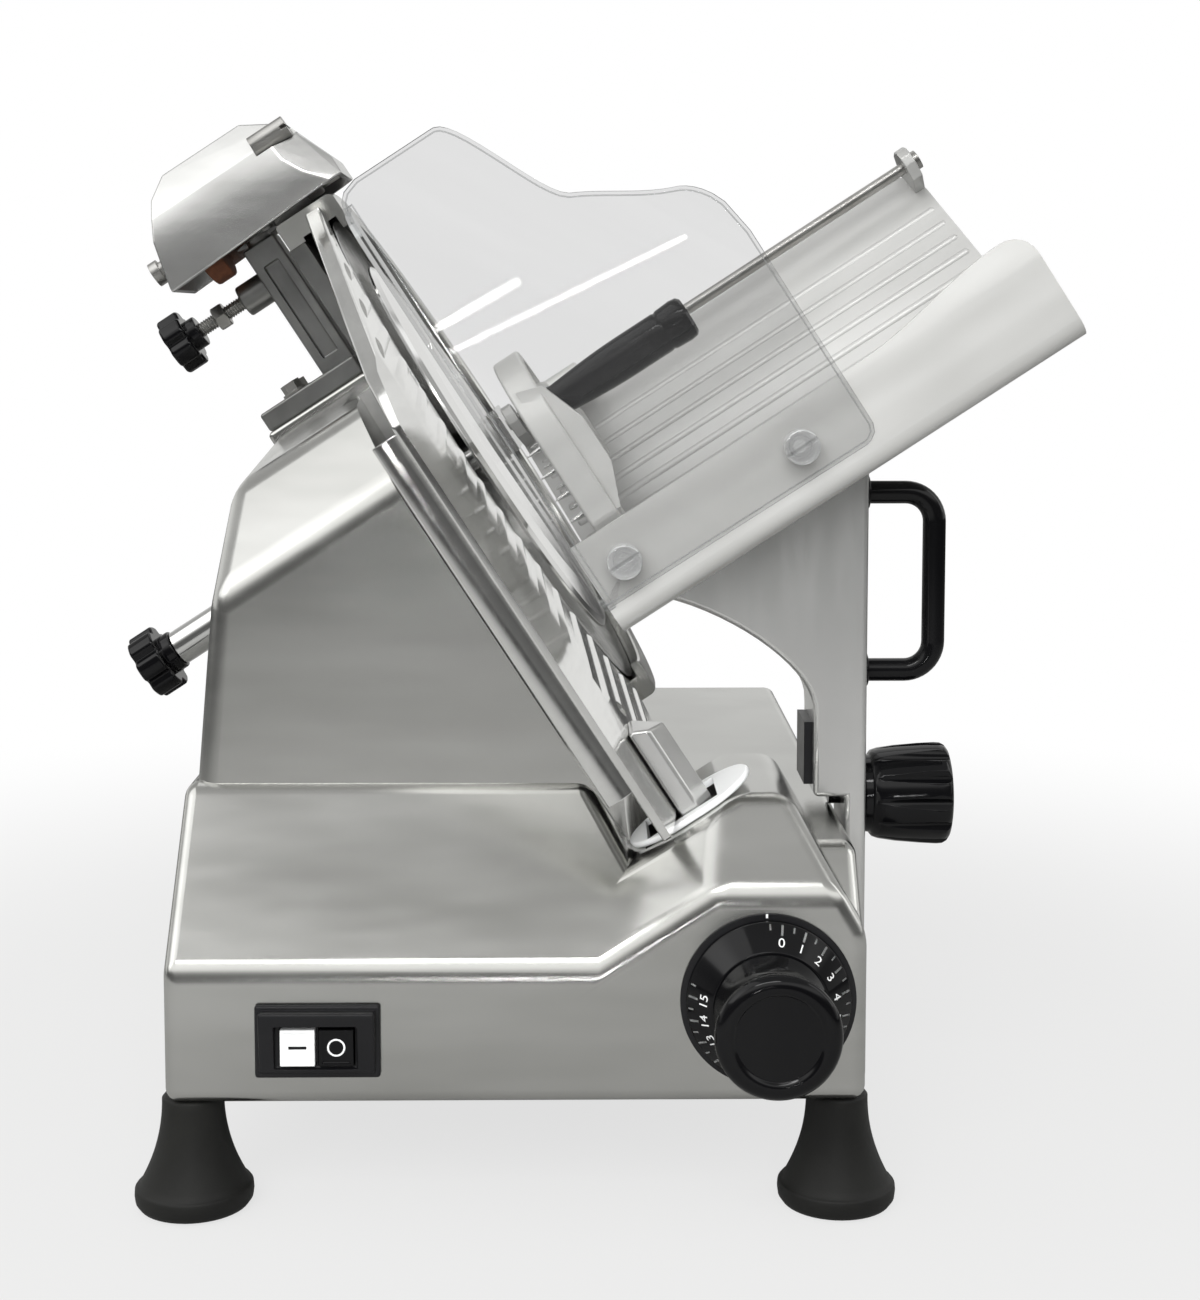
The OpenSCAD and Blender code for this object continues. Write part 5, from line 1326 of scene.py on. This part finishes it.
cover = cover_block("sharpener_cover", 0, True)
cut_by(cover, cover_block("cavity", 3, False))
cut_by(cover, bar("button_bore", (HEAD_N0 - 8, BY, HEAD_V + 14), ALONG_X, 10.1, 30, 48))
cut_by(cover, bar("pin_slot", (HEAD_N1 - 34, BY - 24, HEAD_V + 39), ALONG_X, 13, 40, 48))
settle_slant(cover)
smooth(cover, 60, False)
hand_over(cover, "sharp_head", "cast", "cover_cast", "sharp_cover")


# %% Stones
def turned_disc(name, n, v, radius, thick, bore):
    line = [(0, 0, bore), (0, 0, radius - 1.6), (0.5, 0, radius - 0.5), (1.6, 0, radius),
            (thick - 1.6, 0, radius), (thick - 0.5, 0, radius - 0.5), (thick, 0, radius - 1.6),
            (thick, 0, bore), (0, 0, bore)]
    return move(draw_spun(name, line, ALONG_X, 96), n, BY, v)


grind_stone = turned_disc("grind_stone", HEAD_N0 + 19, HEAD_V + 14, 24, 12, 5.1)
hone_stone = turned_disc("hone_stone", HEAD_N1 - 25, HEAD_V + 15, 14, 10, 0.01)
hone_stem = round_edges(bar("hone_stem", (HEAD_N1 - 16, BY, HEAD_V + 7), ALONG_X, 8, 13, 40), 0.5, 2)
complete(grind_stone, settle_slant, 40, "sharp_head", "stone", "stone", "sharp_stones")
complete(hone_stone, settle_slant, 40, "sharp_head", "stone", "pale_stone")
complete(hone_stem, settle_slant, 40, "sharp_head", "steel", "steel")

# %% Bracket
FOOT_V = 72.03
LOCK_V = HEAD_V - 25
bracket = start_block("cast_bracket", (POST_SN - 50, BY - 24, FOOT_V), (POST_SN + 11, BY + 24, FOOT_V + 11))
round_edges(bracket, 1.6)
stem = start_block("stem", (POST_SN - 10, BY - 12, FOOT_V + 6), (POST_SN + 10, BY + 12, HEAD_V - 3))
cut_by(bracket, round_edges(stem, 1.4), "UNION")
for face_y in (BY - 20, BY + 7):
    groove = start_block("groove", (POST_SN - 5, face_y, FOOT_V + 18),
                         (POST_SN + 5, face_y + 13, HEAD_V - 16))
    cut_by(bracket, round_edges(groove, 1.5))
lug = bar("lug", (POST_SN - 26, BY, LOCK_V), ALONG_X, 18, 20, 64)
cut_by(bracket, round_edges(lug, 1.4), "UNION")
cut_by(bracket, bar("post", (POST_SN, BY, HEAD_V - 6), ALONG_Z, 14, 51, 64), "UNION")
cut_by(bracket, bar("screw_bore", (POST_SN - 40, BY, LOCK_V), ALONG_X, SCREW_BORE, 30, 48))
for side in (-BOLT_SIDE, BOLT_SIDE):
    cut_by(bracket, bar("bolt_bore", (BOLT_N, BY + side, FOOT_V - 1), ALONG_Z, 6.1, 14, 32))
complete(bracket, settle_slant, 30, "frame", "cast", "rough_cast_and_shade", "sharp_bracket")

# %% [markdown]
# ## Lock screw and lobed knobs
# The screw's thread is turned as close rings, which read as a thread at this size, and a chamfered hex nut
# jams it. The two black knobs share one lobed outline: a circle that swells between the finger hollows.

# %% Lock screw
RINGS, PITCH, NUT_R = 36, 1.55, 7.5
thread = [(POST_SN - 67, 0, 0), (POST_SN - 67, 0, 3.2)]
for k in range(RINGS):
    n = POST_SN - 66.4 + PITCH * k
    thread += [(n, 0, 3.3), (n + 0.55, 0, 4.0), (n + 0.95, 0, 4.0)]
thread += [(POST_SN - 10.4, 0, 3.2), (POST_SN - 10.4, 0, 0), (POST_SN - 67, 0, 0)]
screw = draw_spun("threaded_screw", thread, ALONG_X, 40)
corners = [k * math.pi / 3 for k in range(6)]
hexagon = [(POST_SN - 44, NUT_R * math.cos(turn), NUT_R * math.sin(turn)) for turn in corners]
nut = draw_prism("nut", hexagon, (7, 0, 0))
chamfer = [(-44.01, 0), (-44.01, 6.4), (-43, 7.6), (-38, 7.6), (-36.99, 6.4), (-36.99, 0), (-44.01, 0)]
chamfer = draw_spun("chamfer", [(POST_SN + n, 0, r) for n, r in chamfer], ALONG_X, 64)
cut_by(nut, chamfer, "INTERSECT")
cut_by(screw, nut, "UNION")
move(screw, 0, BY, LOCK_V)
complete(screw, settle_slant, 25, "sharp_knob", "steel", "steel", "lock_screw")


# %% Lobed knobs
def lobed_knob(name, n, v, radius, lobes, thick, neck, neck_l):
    outline = []
    for k in range(lobes * 20):
        turn = 2 * math.pi * k / (lobes * 20)
        dip = (0.5 + 0.5 * math.cos(lobes * turn)) ** 4
        r = radius * (1 - 0.15 * dip)
        outline.append((0, r * math.cos(turn), r * math.sin(turn)))
    knob = draw_prism(name, outline, (thick, 0, 0))
    round_edges(knob, 2.0, 4, 40)
    cut_by(knob, bar("face", (-1, 0, 0), ALONG_X, radius, 1.8, 48))
    stem = bar("neck", (thick - 2, 0, 0), ALONG_X, neck, neck_l + 2, 48)
    cut_by(knob, round_edges(stem, 1.0, 2, 40), "UNION")
    cut_by(knob, bar("bore", (thick - 9, 0, 0), ALONG_X, SCREW_BORE, 40, 40))
    return move(knob, n, BY, v)


knob = lobed_knob("lock_lobes", POST_SN - 73, LOCK_V, radius=16.5, lobes=6, thick=13, neck=18, neck_l=6)
complete(knob, settle_slant, 35, "sharp_knob", "gloss_black", "gloss_black", "sharp_knob")
knob = lobed_knob("cover_lobes", -228, 0, radius=19, lobes=7, thick=15, neck=22.8, neck_l=6.5)
complete(knob, settle_slant, 35, "cover_knob", "gloss_black", "gloss_black", "cover_knob")
